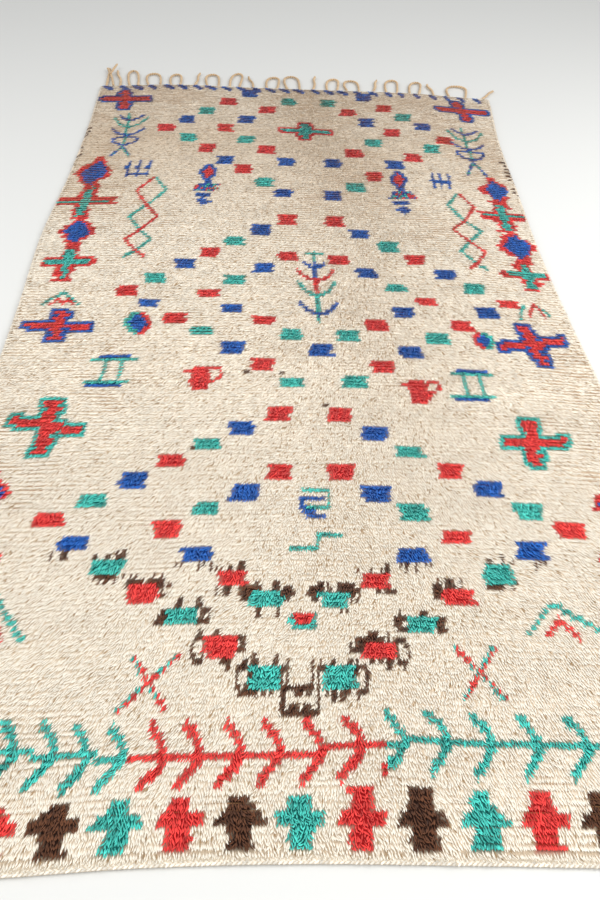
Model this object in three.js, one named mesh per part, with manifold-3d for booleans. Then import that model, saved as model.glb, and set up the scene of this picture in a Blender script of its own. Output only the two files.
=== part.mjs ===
// A hand-knotted wool rug lying flat on the floor: one lumpy knotted cloth, and the twisted cords of its
// warp ends lying on the floor beyond the far edge. Millimetres, +Z up, +Y towards the corded end.
import * as THREE from 'three';
import { mergeVertices } from 'three/addons/utils/BufferGeometryUtils.js';
import Module from 'manifold-3d';

// The cloth's sides, read at equal steps along its length from the near end: where each edge lies across.
const SIDES = [
  { left: -648, right: 652 },
  { left: -646, right: 657 },
  { left: -642, right: 662 },
  { left: -639, right: 661 },
  { left: -644, right: 644 },
  { left: -655, right: 634 },
  { left: -643, right: 636 },
  { left: -641, right: 637 },
  { left: -650, right: 656 },
];

// The cloth's ends, read at equal steps across from the left: how far along each edge lies.
const ENDS = [
  { near: 0, far: 2580 },
  { near: 5, far: 2596 },
  { near: 20, far: 2587 },
  { near: 26, far: 2575 },
  { near: 24, far: 2563 },
  { near: 20, far: 2550 },
  { near: 14, far: 2512 },
];

// Cloth section: woven ground, pile standing on it, and how its edges round off.
const GROUND_THICK = 4;
const PILE_TOP = 14;
const SHOULDER_TOP = 9;
const SHOULDER_WIDTH = 14;
const HEM_WIDTH = 10;
const HEM_RISE = 5;
const EDGE_BULGE = 1.5;
const RIM_LOCK = 3;

// Lumps of the pile: broad swells, smaller swells and the uneven height of single locks.
const SWELL_HEIGHT = 0.9;
const RIPPLE_HEIGHT = 0.7;
const LOCK_HEIGHT = 1.1;

// Grid of the cloth's top.
const CELLS_ACROSS = 44;
const CELLS_ALONG = 88;

// Warp cords: a flat-bottomed four-sided section, and the strip that their roots share.
const CORD_WIDTH = 9.5;
const CORD_CREST = 6;
const CORD_HEIGHT = 8;
const STRIP_DEPTH = 8;
const STRIP_HEIGHT = 4;
const CLEARANCE = 0.3;
const LOOP_STEPS = 14;
const SINGLE_STEPS = 7;

// Each group of warp cords: where it is rooted across the cloth, the distance between its two legs,
// how far it reaches beyond the edge and how far its tip leans to the right.
const CORD_GROUPS = [
  { kind: 'crossed', across: -620, spread: 24, reach: 146, lean: -16 },
  { kind: 'single', across: -586, spread: 0, reach: 124, lean: -26 },
  { kind: 'loop', across: -540, spread: 28, reach: 122, lean: -20 },
  { kind: 'loop', across: -471, spread: 38, reach: 94, lean: -16 },
  { kind: 'loop', across: -400, spread: 30, reach: 88, lean: -6 },
  { kind: 'single', across: -338, spread: 0, reach: 104, lean: 14 },
  { kind: 'loop', across: -272, spread: 36, reach: 98, lean: -10 },
  { kind: 'loop', across: -200, spread: 30, reach: 112, lean: 8 },
  { kind: 'single', across: -136, spread: 0, reach: 92, lean: -18 },
  { kind: 'loop', across: -72, spread: 34, reach: 90, lean: 4 },
  { kind: 'loop', across: 2, spread: 40, reach: 104, lean: -12 },
  { kind: 'single', across: 66, spread: 0, reach: 110, lean: 10 },
  { kind: 'loop', across: 132, spread: 32, reach: 94, lean: 6 },
  { kind: 'loop', across: 204, spread: 38, reach: 86, lean: -8 },
  { kind: 'single', across: 268, spread: 0, reach: 98, lean: 22 },
  { kind: 'loop', across: 334, spread: 34, reach: 102, lean: 6 },
  { kind: 'loop', across: 410, spread: 30, reach: 92, lean: 14 },
  { kind: 'single', across: 474, spread: 0, reach: 84, lean: -12 },
  { kind: 'loop', across: 552, spread: 52, reach: 88, lean: 10 },
  { kind: 'single', across: 628, spread: 0, reach: 68, lean: 56 },
];

const WOOL = { color: 0xe6d9bf, roughness: 0.95, metalness: 0 };
const WARP = { color: 0xd3b794, roughness: 0.9, metalness: 0 };

const { clamp, lerp, smoothstep } = THREE.MathUtils;

/** One column of a table as a smooth curve through its rows; turn runs from 0 at the first row to 1. */
function column(rows, key) {
  const curve = new THREE.SplineCurve(rows.map((row, i) => new THREE.Vector2(i, row[key])));
  return (turn) => curve.getPoint(clamp(turn, 0, 1)).y;
}

const leftEdge = column(SIDES, 'left');
const rightEdge = column(SIDES, 'right');
const nearEdge = column(ENDS, 'near');
const farEdge = column(ENDS, 'far');

/** The floor point a fraction s of the way across the cloth and t of the way along it. */
function clothPoint(s, t) {
  return new THREE.Vector2(lerp(leftEdge(t), rightEdge(t), s), lerp(nearEdge(s), farEdge(s), t));
}

/** A repeatable uneven number from 0 to 1 for lock i, j. */
function lockChance(i, j) {
  const wave = Math.sin(i * 12.9898 + j * 78.233) * 43758.5453;
  return wave - Math.floor(wave);
}

/** Height of the pile at a floor point, for the lock i, j that stands there. */
function pileHeight(point, i, j) {
  const swell = Math.sin(point.x / 71 + 1.3 * Math.sin(point.y / 133)) * Math.cos(point.y / 58 + point.x / 240);
  const ripple = Math.sin(point.y / 19 + 0.9 * Math.sin(point.x / 83));
  return PILE_TOP + SWELL_HEIGHT * swell + RIPPLE_HEIGHT * ripple + LOCK_HEIGHT * (2 * lockChance(i, j) - 1);
}

/** Fractions that split a span of the given size evenly, but for the narrow borders at its two ends. */
function gridLines(cells, size, firstBorders, lastBorders) {
  const inner = cells - firstBorders.length - lastBorders.length;
  const first = firstBorders.at(-1) / size;
  const last = 1 - lastBorders.at(-1) / size;
  const middle = Array.from({ length: inner + 1 }, (_, k) => lerp(first, last, k / inner));
  const before = [0, ...firstBorders.slice(0, -1).map((width) => width / size)];
  const after = [...lastBorders.slice(0, -1).map((width) => 1 - width / size).reverse(), 1];
  return [...before, ...middle, ...after];
}

const middleWidth = rightEdge(0.5) - leftEdge(0.5);
const middleLength = farEdge(0.5) - nearEdge(0.5);
const sLines = gridLines(CELLS_ACROSS, middleWidth, [SHOULDER_WIDTH], [SHOULDER_WIDTH]);
const tLines = gridLines(CELLS_ALONG, middleLength, [HEM_WIDTH, HEM_WIDTH + HEM_RISE], [SHOULDER_WIDTH]);

/** The knotted cloth: a grid for its lumpy top, a rounded edge of two rings and a flat underside. */
function knottedCloth() {
  const nx = sLines.length - 1;
  const ny = tLines.length - 1;
  const hemRows = 1;
  const vertices = [];
  const triangles = [];
  const quad = (a, b, c, d) => triangles.push([a, b, c], [a, c, d]);

  // Top: hem low at the near end, then pile, with a lower shoulder along the other edges.
  for (let j = 0; j <= ny; j += 1) {
    for (let i = 0; i <= nx; i += 1) {
      const point = clothPoint(sLines[i], tLines[j]);
      const atRim = i === 0 || i === nx || j === ny;
      const pile = atRim ? SHOULDER_TOP + lockChance(j, i) : pileHeight(point, i, j);
      vertices.push([point.x, point.y, j <= hemRows ? GROUND_THICK : pile]);
    }
  }
  const top = (i, j) => j * (nx + 1) + i;
  for (let j = 0; j < ny; j += 1) {
    for (let i = 0; i < nx; i += 1) {
      quad(top(i, j), top(i + 1, j), top(i + 1, j + 1), top(i, j + 1));
    }
  }

  // Rim, counter-clockwise seen from above: the top's outer points, with the way that each one faces.
  const rim = [];
  for (let i = 0; i < nx; i += 1) rim.push({ i, j: 0, out: [0, -1] });
  for (let j = 0; j < ny; j += 1) rim.push({ i: nx, j, out: [1, 0] });
  for (let i = nx; i > 0; i -= 1) rim.push({ i, j: ny, out: [0, 0] });
  for (let j = ny; j > 0; j -= 1) rim.push({ i: 0, j, out: [-1, 0] });

  // Edge: a middle ring pushed out by the selvedge's roundness and its locks, and a ring on the floor.
  const middleRing = vertices.length;
  for (const { i, j, out } of rim) {
    const [x, y] = vertices[top(i, j)];
    const reach = EDGE_BULGE + (j > hemRows ? RIM_LOCK * lockChance(i + 7, j) : 0);
    vertices.push([x + out[0] * reach, y + out[1] * reach, GROUND_THICK / 2]);
  }
  const floorRing = vertices.length;
  for (const { i, j } of rim) {
    const [x, y] = vertices[top(i, j)];
    vertices.push([x, y, 0]);
  }
  rim.forEach(({ i, j }, k) => {
    const next = (k + 1) % rim.length;
    quad(middleRing + k, middleRing + next, top(rim[next].i, rim[next].j), top(i, j));
    quad(floorRing + k, floorRing + next, middleRing + next, middleRing + k);
  });

  // Underside: a strip from side to side for each row, and a fan of triangles at each end.
  const rightFloor = (j) => floorRing + nx + j;
  const leftFloor = (j) => (j === 0 ? floorRing : floorRing + 2 * nx + ny + (ny - j));
  const nearFloor = (i) => (i === nx ? rightFloor(0) : floorRing + i);
  const farFloor = (i) => floorRing + nx + ny + (nx - i);
  for (let j = 1; j < ny - 1; j += 1) {
    quad(leftFloor(j), leftFloor(j + 1), rightFloor(j + 1), rightFloor(j));
  }
  const half = nx / 2;
  for (let i = 0; i < nx; i += 1) {
    const nearApex = i < half ? leftFloor(1) : rightFloor(1);
    const farApex = i < half ? leftFloor(ny - 1) : rightFloor(ny - 1);
    triangles.push([nearFloor(i + 1), nearFloor(i), nearApex], [farFloor(i), farFloor(i + 1), farApex]);
  }
  triangles.push([leftFloor(1), rightFloor(1), nearFloor(half)]);
  triangles.push([rightFloor(ny - 1), leftFloor(ny - 1), farFloor(half)]);
  return closedGeometry(vertices, triangles);
}

/** A closed tube through rings of corner points, all rings listed the same way round. */
function tubeThroughRings(rings) {
  const sides = rings[0].length;
  const vertices = rings.flat();
  const triangles = [];
  for (let k = 0; k < rings.length - 1; k += 1) {
    for (let c = 0; c < sides; c += 1) {
      const a = k * sides + c;
      const b = k * sides + ((c + 1) % sides);
      triangles.push([a, b, b + sides], [a, b + sides, a + sides]);
    }
  }
  const last = (rings.length - 1) * sides;
  for (let c = 1; c < sides - 1; c += 1) {
    triangles.push([0, c + 1, c], [last, last + c, last + c + 1]);
  }
  return closedGeometry(vertices, triangles);
}

/** A cord lying on the floor along a plane curve: four-sided, wider below than above. */
function floorCord(curve, steps) {
  const rings = curve.getSpacedPoints(steps).map((point, k) => {
    const along = curve.getTangentAt(k / steps);
    const side = new THREE.Vector2(along.y, -along.x);
    const corner = (offset, height) => [point.x + side.x * offset, point.y + side.y * offset, height];
    return [
      corner(-CORD_WIDTH / 2, 0),
      corner(-CORD_CREST / 2, CORD_HEIGHT),
      corner(CORD_CREST / 2, CORD_HEIGHT),
      corner(CORD_WIDTH / 2, 0),
    ];
  });
  return tubeThroughRings(rings);
}

/** How far along the middle of the strip lies, at a place across the cloth. */
function stripMiddle(x) {
  return farEdge((x - leftEdge(1)) / (rightEdge(1) - leftEdge(1))) + CLEARANCE + STRIP_DEPTH / 2;
}

/** The curves of one group of warp cords, from its named sizes. */
function cordCurves({ kind, across, spread, reach, lean }) {
  const half = spread / 2;
  const at = (side, turn) => new THREE.Vector2(
    across + side + lean * turn,
    stripMiddle(across + side) + reach * turn,
  );
  const through = (...points) => new THREE.SplineCurve(points);
  if (kind === 'loop') {
    return [through(at(-half, 0), at(-half * 1.3, 0.5), at(-half * 0.9, 0.88), at(half * 0.2, 1),
      at(half * 1.1, 0.84), at(half * 1.2, 0.45), at(half, 0))];
  }
  if (kind === 'crossed') {
    return [through(at(-half, 0), at(-half * 0.8, 0.5), at(-half * 0.5, 1)),
      through(at(half, 0), at(half * 0.2, 0.45), at(-half * 1.1, 0.96)),
      through(at(-half * 0.2, 0.55), at(half * 0.5, 0.8), at(half * 1.5, 1.12))];
  }
  return [through(at(0, 0), at(4, 0.4), at(-2, 0.75), at(0, 1))];
}

/** The far end's warp cords, joined to the narrow strip that their roots share. */
function farFringe(wasm) {
  const stripRings = sLines.slice(1, -1).map((s) => {
    const { x, y } = clothPoint(s, 1);
    const near = y + CLEARANCE;
    return [
      [x, near, 0],
      [x, near + STRIP_DEPTH, 0],
      [x, near + STRIP_DEPTH, STRIP_HEIGHT],
      [x, near, STRIP_HEIGHT],
    ];
  });
  const pieces = [tubeThroughRings(stripRings)];
  for (const group of CORD_GROUPS) {
    const steps = group.kind === 'loop' ? LOOP_STEPS : SINGLE_STEPS;
    cordCurves(group).forEach((curve) => pieces.push(floorCord(curve, steps)));
  }
  return joined(pieces, wasm);
}

/** Position-only geometry from vertex and triangle lists. */
function closedGeometry(vertices, triangles) {
  const geometry = new THREE.BufferGeometry();
  geometry.setAttribute('position', new THREE.Float32BufferAttribute(vertices.flat(), 3));
  geometry.setIndex(triangles.flat());
  return mergeVertices(geometry);
}

/** One geometry from several closed ones, joined as solids. */
function joined(geometries, wasm) {
  const solids = geometries.map((geometry) => new wasm.Manifold(new wasm.Mesh({
    numProp: 3,
    vertProperties: new Float32Array(geometry.attributes.position.array),
    triVerts: new Uint32Array(geometry.index.array),
  })));
  const mesh = solids.reduce((whole, solid) => whole.add(solid)).getMesh();
  const geometry = new THREE.BufferGeometry();
  geometry.setAttribute('position', new THREE.BufferAttribute(mesh.vertProperties, 3));
  geometry.setIndex(new THREE.BufferAttribute(mesh.triVerts, 1));
  return geometry;
}

function namedMesh(name, geometry, finish) {
  const mesh = new THREE.Mesh(geometry, new THREE.MeshStandardMaterial(finish));
  mesh.name = name;
  return mesh;
}

const wasm = await Module();
wasm.setup();

const rug = new THREE.Group();
rug.add(namedMesh('knotted_cloth', knottedCloth(), WOOL));
rug.add(namedMesh('far_fringe', farFringe(wasm), WARP));

// The origin is the middle of the whole rug, on the floor.
const reach = new THREE.Box3().setFromObject(rug);
const middle = reach.getCenter(new THREE.Vector3());
rug.position.set(-middle.x, -middle.y, -reach.min.z);

export default rug;
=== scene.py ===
"""A hand-knotted cream wool rug with dyed motifs, lying flat, with twisted warp cords at its far end.

Every yarn end of the pile is a small closed mesh. A chart of knots, painted by the motif methods of
DesignChart, gives each knot its dyed yarn. Lengths are metres, but for the chart's own millimetres.
"""

import logging
import math
from dataclasses import dataclass
from enum import IntEnum

import bpy
import numpy as np
from mathutils import Matrix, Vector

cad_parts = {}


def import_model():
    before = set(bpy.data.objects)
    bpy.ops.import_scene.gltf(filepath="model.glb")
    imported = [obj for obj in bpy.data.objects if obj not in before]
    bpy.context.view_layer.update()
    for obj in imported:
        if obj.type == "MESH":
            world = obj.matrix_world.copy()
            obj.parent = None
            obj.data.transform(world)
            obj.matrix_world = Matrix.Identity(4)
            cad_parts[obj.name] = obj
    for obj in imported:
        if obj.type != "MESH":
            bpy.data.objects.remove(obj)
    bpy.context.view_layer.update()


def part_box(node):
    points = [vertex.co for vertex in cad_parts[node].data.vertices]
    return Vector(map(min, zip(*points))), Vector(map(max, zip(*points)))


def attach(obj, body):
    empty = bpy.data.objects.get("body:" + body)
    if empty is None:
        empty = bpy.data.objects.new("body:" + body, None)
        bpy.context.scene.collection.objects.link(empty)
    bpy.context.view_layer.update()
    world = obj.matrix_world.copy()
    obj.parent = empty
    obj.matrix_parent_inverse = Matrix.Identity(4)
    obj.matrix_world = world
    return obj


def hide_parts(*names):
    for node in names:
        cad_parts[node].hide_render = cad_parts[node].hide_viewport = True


LOG = logging.getLogger("rug")
Place = tuple[float, float]
Colour = tuple[float, float, float, float]
Socket = bpy.types.NodeSocket


class Yarn(IntEnum):
    """The wools that the knots are tied with."""

    CREAM = 0
    RED = 1
    BLUE = 2
    GREEN = 3
    BROWN = 4


def linear(red: int, green: int, blue: int) -> Colour:
    """Turns screen colour values from 0 to 255 into the linear colour that shaders use.

    Args:
        red, green, blue: the screen values.

    Returns:
        Linear red, green, blue and an alpha of one: below 0.04045 the value over 12.92, and above it
        the value plus 0.055, over 1.055, to the power 2.4.
    """
    screen = np.array([red, green, blue]) / 255.0
    light = np.where(screen <= 0.04045, screen / 12.92, ((screen + 0.055) / 1.055) ** 2.4)
    return (*(float(v) for v in light), 1.0)


class NodeSketch:
    """A short way to lay out the shader nodes of one material."""

    def __init__(self, name: str) -> None:
        """Starts a material that holds a Principled shader and its output.

        Args:
            name: the material's name.
        """
        self.material = bpy.data.materials.new(name)
        self.material.use_nodes = True
        self.tree = self.material.node_tree
        self.shader = self.tree.nodes["Principled BSDF"]

    def add(self, kind: str, **values: object) -> bpy.types.Node:
        """Adds a node.

        Args:
            kind: the node's type name.
            values: properties of the node, or of its inputs where no property has that name. An
                underscore in an input's name stands for a space.

        Returns:
            The new node.
        """
        node = self.tree.nodes.new(kind)
        for key, value in values.items():
            if hasattr(node, key):
                setattr(node, key, value)
            else:
                node.inputs[key.replace("_", " ")].default_value = value
        return node

    def link(self, source: Socket, target: Socket) -> None:
        """Joins an output to an input."""
        self.tree.links.new(source, target)

    def blend(self, factor: Socket, first: object, second: object) -> Socket:
        """Mixes two colours.

        Args:
            factor: the socket that gives the share of the second colour.
            first, second: colours, or sockets that give them.

        Returns:
            The socket of the mixed colour.
        """
        node = self.add("ShaderNodeMix", data_type="RGBA", blend_type="MIX")
        self.link(factor, node.inputs[0])
        for index, value in ((6, first), (7, second)):
            if isinstance(value, Socket):
                self.link(value, node.inputs[index])
            else:
                node.inputs[index].default_value = value
        return node.outputs[2]

    def reading(self, name: str) -> Socket:
        """The number that the mesh keeps for each point under a name."""
        return self.add("ShaderNodeAttribute", attribute_name=name).outputs["Fac"]

    def noise(self, scale: float, stretch: tuple[float, float, float] | None = None) -> Socket:
        """Noise like matted fibres, in the object's own space.

        Args:
            scale: how fine it is.
            stretch: how many times finer it is along x, y and z, where it isn't even.

        Returns:
            The socket of the noise.
        """
        place = self.add("ShaderNodeTexCoord").outputs["Object"]
        if stretch is not None:
            mapping = self.add("ShaderNodeMapping", Scale=stretch)
            self.link(place, mapping.inputs["Vector"])
            place = mapping.outputs["Vector"]
        node = self.add("ShaderNodeTexNoise", Scale=scale, Detail=3.0, Roughness=0.6)
        self.link(place, node.inputs["Vector"])
        return node.outputs["Fac"]

    def ranged(self, source: Socket, low: float, high: float, start: float = 0.0,
               end: float = 1.0) -> Socket:
        """Maps a number onto a range in a straight line, and keeps it inside.

        Args:
            source: the socket of the number.
            low, high: what start and end become.
            start, end: where the number's own range starts and ends.

        Returns:
            The socket of the mapped number.
        """
        node = self.add("ShaderNodeMapRange", clamp=True, From_Min=start, From_Max=end,
                        To_Min=low, To_Max=high)
        self.link(source, node.inputs["Value"])
        return node.outputs["Result"]

    def counted(self, operation: str, first: Socket, second: object = None) -> Socket:
        """Does one sum.

        Args:
            operation: the sum's name.
            first: the socket of the first number.
            second: the second number or its socket, where the sum has one.

        Returns:
            The socket of the result.
        """
        node = self.add("ShaderNodeMath", operation=operation)
        self.link(first, node.inputs[0])
        if isinstance(second, Socket):
            self.link(second, node.inputs[1])
        elif second is not None:
            node.inputs[1].default_value = second
        return node.outputs["Value"]

    def lit(self, colour: Socket, factor: Socket) -> Socket:
        """Makes a colour lighter or darker.

        Args:
            colour: the colour's socket.
            factor: the socket of what each of its parts is multiplied by.

        Returns:
            The socket of the new colour.
        """
        node = self.add("ShaderNodeVectorMath", operation="SCALE")
        self.link(colour, node.inputs[0])
        self.link(factor, node.inputs["Scale"])
        return node.outputs["Vector"]

    def relieve(self, height: Socket, strength: float, distance: float) -> None:
        """Gives the surface a fine relief.

        Args:
            height: the socket of the height, from 0 to 1.
            strength: how much of the relief shows.
            distance: how deep the relief goes, in metres.
        """
        node = self.add("ShaderNodeBump", Strength=strength, Distance=distance)
        self.link(height, node.inputs["Height"])
        self.link(node.outputs["Normal"], self.shader.inputs["Normal"])


@dataclass(frozen=True)
class WoolFinish:
    """Dyed or undyed wool: matt, with a soft sheen, and a painted shade where the yarn goes down."""

    name: str
    # tip is the wool in full light, and root the same wool in painted shade, down in the pile.
    tip: Colour
    root: Colour
    tone_spread: float = 0.16
    fibre_scale: float = 900.0
    fibre_relief: float = 0.0004
    roughness: float = 0.92
    sheen: float = 0.25
    sheen_roughness: float = 0.5
    specular: float = 0.2
    grain: tuple[float, float] = (0.82, 1.18)
    relief_strength: float = 0.6

    def material(self) -> bpy.types.Material:
        """Builds the material.

        One attribute, from 0 at the root to 1 at the tip, blends the root's colour into the tip's: a
        painted shade, darkest down in the pile. The attribute tone, around 0.5, lightens or darkens each
        yarn end, by chance and, where it lies sunk, as painted shade. Noise at the scale of fibres breaks
        both up and gives a fine relief.
        """
        sketch = NodeSketch(self.name)
        fibres = sketch.noise(self.fibre_scale)
        # Painted shade: the root colour where the lit share is low, the lit tip colour where it is one.
        body = sketch.blend(sketch.reading("depth"), self.root, self.tip)
        tone = sketch.ranged(sketch.reading("tone"), 1.0 - self.tone_spread, 1.0 + self.tone_spread)
        light = sketch.counted("MULTIPLY", tone, sketch.ranged(fibres, *self.grain))
        sketch.link(sketch.lit(body, light), sketch.shader.inputs["Base Color"])
        sketch.relieve(fibres, self.relief_strength, self.fibre_relief)
        sketch.shader.inputs["Roughness"].default_value = self.roughness
        sketch.shader.inputs["Sheen Weight"].default_value = self.sheen
        sketch.shader.inputs["Sheen Roughness"].default_value = self.sheen_roughness
        sketch.shader.inputs["Specular IOR Level"].default_value = self.specular
        return sketch.material


@dataclass(frozen=True)
class GroundFinish:
    """The bed of knots and the woven ground: matted wool of each knot's own dye in painted shade,
    as seen in the gaps between yarn ends, streaked along the rug, with a painted shadow in the grooves
    where rows part.

    groove_place is where in a row its groove lies, groove_half how wide its painted shadow is dark to
    each side, both in rows, and groove_soft how many times as far it fades out.
    """

    name: str = "knotted_bed"
    thread: Colour = linear(240, 226, 204)
    # The dark brown painted as the shadow in a groove.
    groove_shade: Colour = linear(142, 102, 68)
    groove_place: float = 0.92
    groove_half: float = 0.07
    groove_soft: float = 1.8
    streak_scale: tuple[float, float, float] = (480.0, 240.0, 200.0)
    streak_light: tuple[float, float] = (0.40, 1.40)
    relief: float = 0.0009
    relief_strength: float = 0.8
    roughness: float = 0.95
    specular: float = 0.15

    def material(self) -> bpy.types.Material:
        """Builds the material.

        Three attributes give the colour, each knot's dye in painted shade. Noise that is stretched
        along the rug lightens and darkens it and raises it like matted strands.
        """
        sketch = NodeSketch(self.name)
        streaks = sketch.noise(1.0, self.streak_scale)
        # Painted shade: the knots' dye, as dark as it looks between the yarn ends.
        shaded_dye = sketch.add("ShaderNodeCombineColor")
        for index, part in enumerate(("dye_red", "dye_green", "dye_blue")):
            sketch.link(sketch.reading(part), shaded_dye.inputs[index])
        wool = sketch.lit(shaded_dye.outputs["Color"], sketch.ranged(streaks, *self.streak_light))
        # Painted shadow: the groove's dark brown where rows part.
        sketch.link(sketch.blend(self.groove(sketch), wool, self.groove_shade), sketch.shader.inputs["Base Color"])
        sketch.relieve(streaks, self.relief_strength, self.relief)
        sketch.shader.inputs["Roughness"].default_value = self.roughness
        sketch.shader.inputs["Specular IOR Level"].default_value = self.specular
        return sketch.material

    def groove(self, sketch: NodeSketch) -> Socket:
        """The painted shadow in the groove between two parted rows of knots.

        The attribute row counts rows along the rug. Where its fraction is near the groove's place,
        the painted shadow is as strong as the attribute parted says.

        Args:
            sketch: the material to lay the nodes out in.

        Returns:
            The socket of the painted shadow's strength.
        """
        moved = sketch.counted("SUBTRACT", sketch.reading("row"), self.groove_place - 0.5)
        away = sketch.counted("SUBTRACT", sketch.counted("FRACT", moved), 0.5)
        size = sketch.counted("ABSOLUTE", away)
        near = sketch.ranged(size, 1.0, 0.0, self.groove_half, self.groove_half * self.groove_soft)
        return sketch.counted("MULTIPLY", near, sketch.reading("parted"))


GROUND_FINISH = GroundFinish()
# Each finish's tip is its wool in full light, and its root the same wool in painted shade, as it looks down
# in the pile or between plies.
FINISHES = {
    Yarn.CREAM: WoolFinish("cream_wool", linear(255, 252, 240), linear(188, 156, 116), 0.30),
    Yarn.RED: WoolFinish("red_wool", linear(255, 76, 70), linear(142, 6, 14), 0.34),
    Yarn.BLUE: WoolFinish("blue_wool", linear(34, 114, 210), linear(2, 22, 80), 0.40),
    Yarn.GREEN: WoolFinish("green_wool", linear(84, 222, 206), linear(0, 72, 68), 0.40),
    Yarn.BROWN: WoolFinish("brown_wool", linear(108, 65, 39), linear(26, 12, 8), 0.40),
}
HEM_FINISH = WoolFinish("hem_yarn", linear(255, 250, 238), linear(204, 172, 138), 0.24)
CORD_FINISH = WoolFinish("warp_cord", linear(222, 196, 160), linear(160, 122, 82))


def uneven(seed: int, x: np.ndarray, y: np.ndarray, cell: float) -> np.ndarray:
    """Smooth repeatable unevenness over the floor.

    Random values from -1 to 1 sit on a square lattice of the given cell, and each point takes the
    blend of its four nearest, weighted by the smooth step 3u^2 - 2u^3 in each direction.

    Args:
        seed: which unevenness.
        x, y: places, in metres.
        cell: the lattice's spacing, in metres.

    Returns:
        One value from -1 to 1 for each place.
    """
    size = 512
    lattice = np.random.default_rng(seed).uniform(-1.0, 1.0, (size, size))
    u, v = x / cell + size / 2, y / cell + size / 2
    i, j = np.floor(u).astype(int), np.floor(v).astype(int)
    a, b = u - i, v - j
    a, b = a * a * (3 - 2 * a), b * b * (3 - 2 * b)
    at = lambda di, dj: lattice[(i + di) % size, (j + dj) % size]
    return (at(0, 0) * (1 - a) + at(1, 0) * a) * (1 - b) + (at(0, 1) * (1 - a) + at(1, 1) * a) * b


def catmull_rom(readings: tuple[float, ...], turn: np.ndarray) -> np.ndarray:
    """A smooth curve through equally spaced readings.

    Between two readings it is the cubic whose slopes at them are half the difference of their
    neighbours, and the end readings stand in for the neighbours that are missing.

    Args:
        readings: the values that the curve goes through.
        turn: where to read it, 0 at the first reading and 1 at the last.

    Returns:
        The curve's values.
    """
    rows = np.asarray(readings, float)
    last = len(rows) - 1
    place = np.clip(turn, 0.0, 1.0) * last
    i = np.minimum(np.floor(place).astype(int), last - 1)
    w = place - i
    p0, p1, p2, p3 = (rows[np.clip(i + k, 0, last)] for k in (-1, 0, 1, 2))
    a, b = (p2 - p0) / 2, (p3 - p1) / 2
    return (2 * p1 - 2 * p2 + a + b) * w**3 + (3 * p2 - 3 * p1 - 2 * a - b) * w**2 + a * w + p1


def mesh_piece(name: str, points: np.ndarray, faces: np.ndarray, crease: float | None = None,
               base: np.ndarray | None = None, **attributes: np.ndarray) -> bpy.types.Object:
    """Makes a smooth-shaded object from point and face arrays.

    Args:
        name: the piece's name.
        points: an array of x, y, z rows.
        faces: an array of point numbers, one row of three or four for each face.
        crease: edges that bend by more than this many degrees are shaded sharp.
        base: the point numbers of one more face, of any number of corners.
        attributes: numbers to keep for each point.

    Returns:
        The object, linked to the scene.
    """
    mesh = bpy.data.meshes.new(name)
    corners = faces.ravel() if base is None else np.concatenate([faces.ravel(), base])
    starts = np.arange(0, len(corners) if base is None else faces.size + 1, faces.shape[1])
    mesh.vertices.add(len(points))
    mesh.vertices.foreach_set("co", np.ascontiguousarray(points, np.float32).ravel())
    mesh.loops.add(len(corners))
    mesh.loops.foreach_set("vertex_index", np.ascontiguousarray(corners, np.int32))
    mesh.polygons.add(len(starts))
    mesh.polygons.foreach_set("loop_start", np.ascontiguousarray(starts, np.int32))
    mesh.update(calc_edges=True)
    mesh.shade_smooth()
    if crease is not None:
        mesh.set_sharp_from_angle(angle=math.radians(crease))
    for key, values in attributes.items():
        layer = mesh.attributes.new(key, "FLOAT", "POINT")
        layer.data.foreach_set("value", np.ascontiguousarray(values, np.float32).ravel())
    piece = bpy.data.objects.new(name, mesh)
    bpy.context.scene.collection.objects.link(piece)
    return piece


def repeated(faces: np.ndarray, points_each: int, copies: int) -> np.ndarray:
    """The faces of many copies of one small mesh whose points follow each other."""
    offsets = np.arange(copies)[:, None, None] * points_each
    return (faces[None] + offsets).reshape(-1, faces.shape[1])


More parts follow.
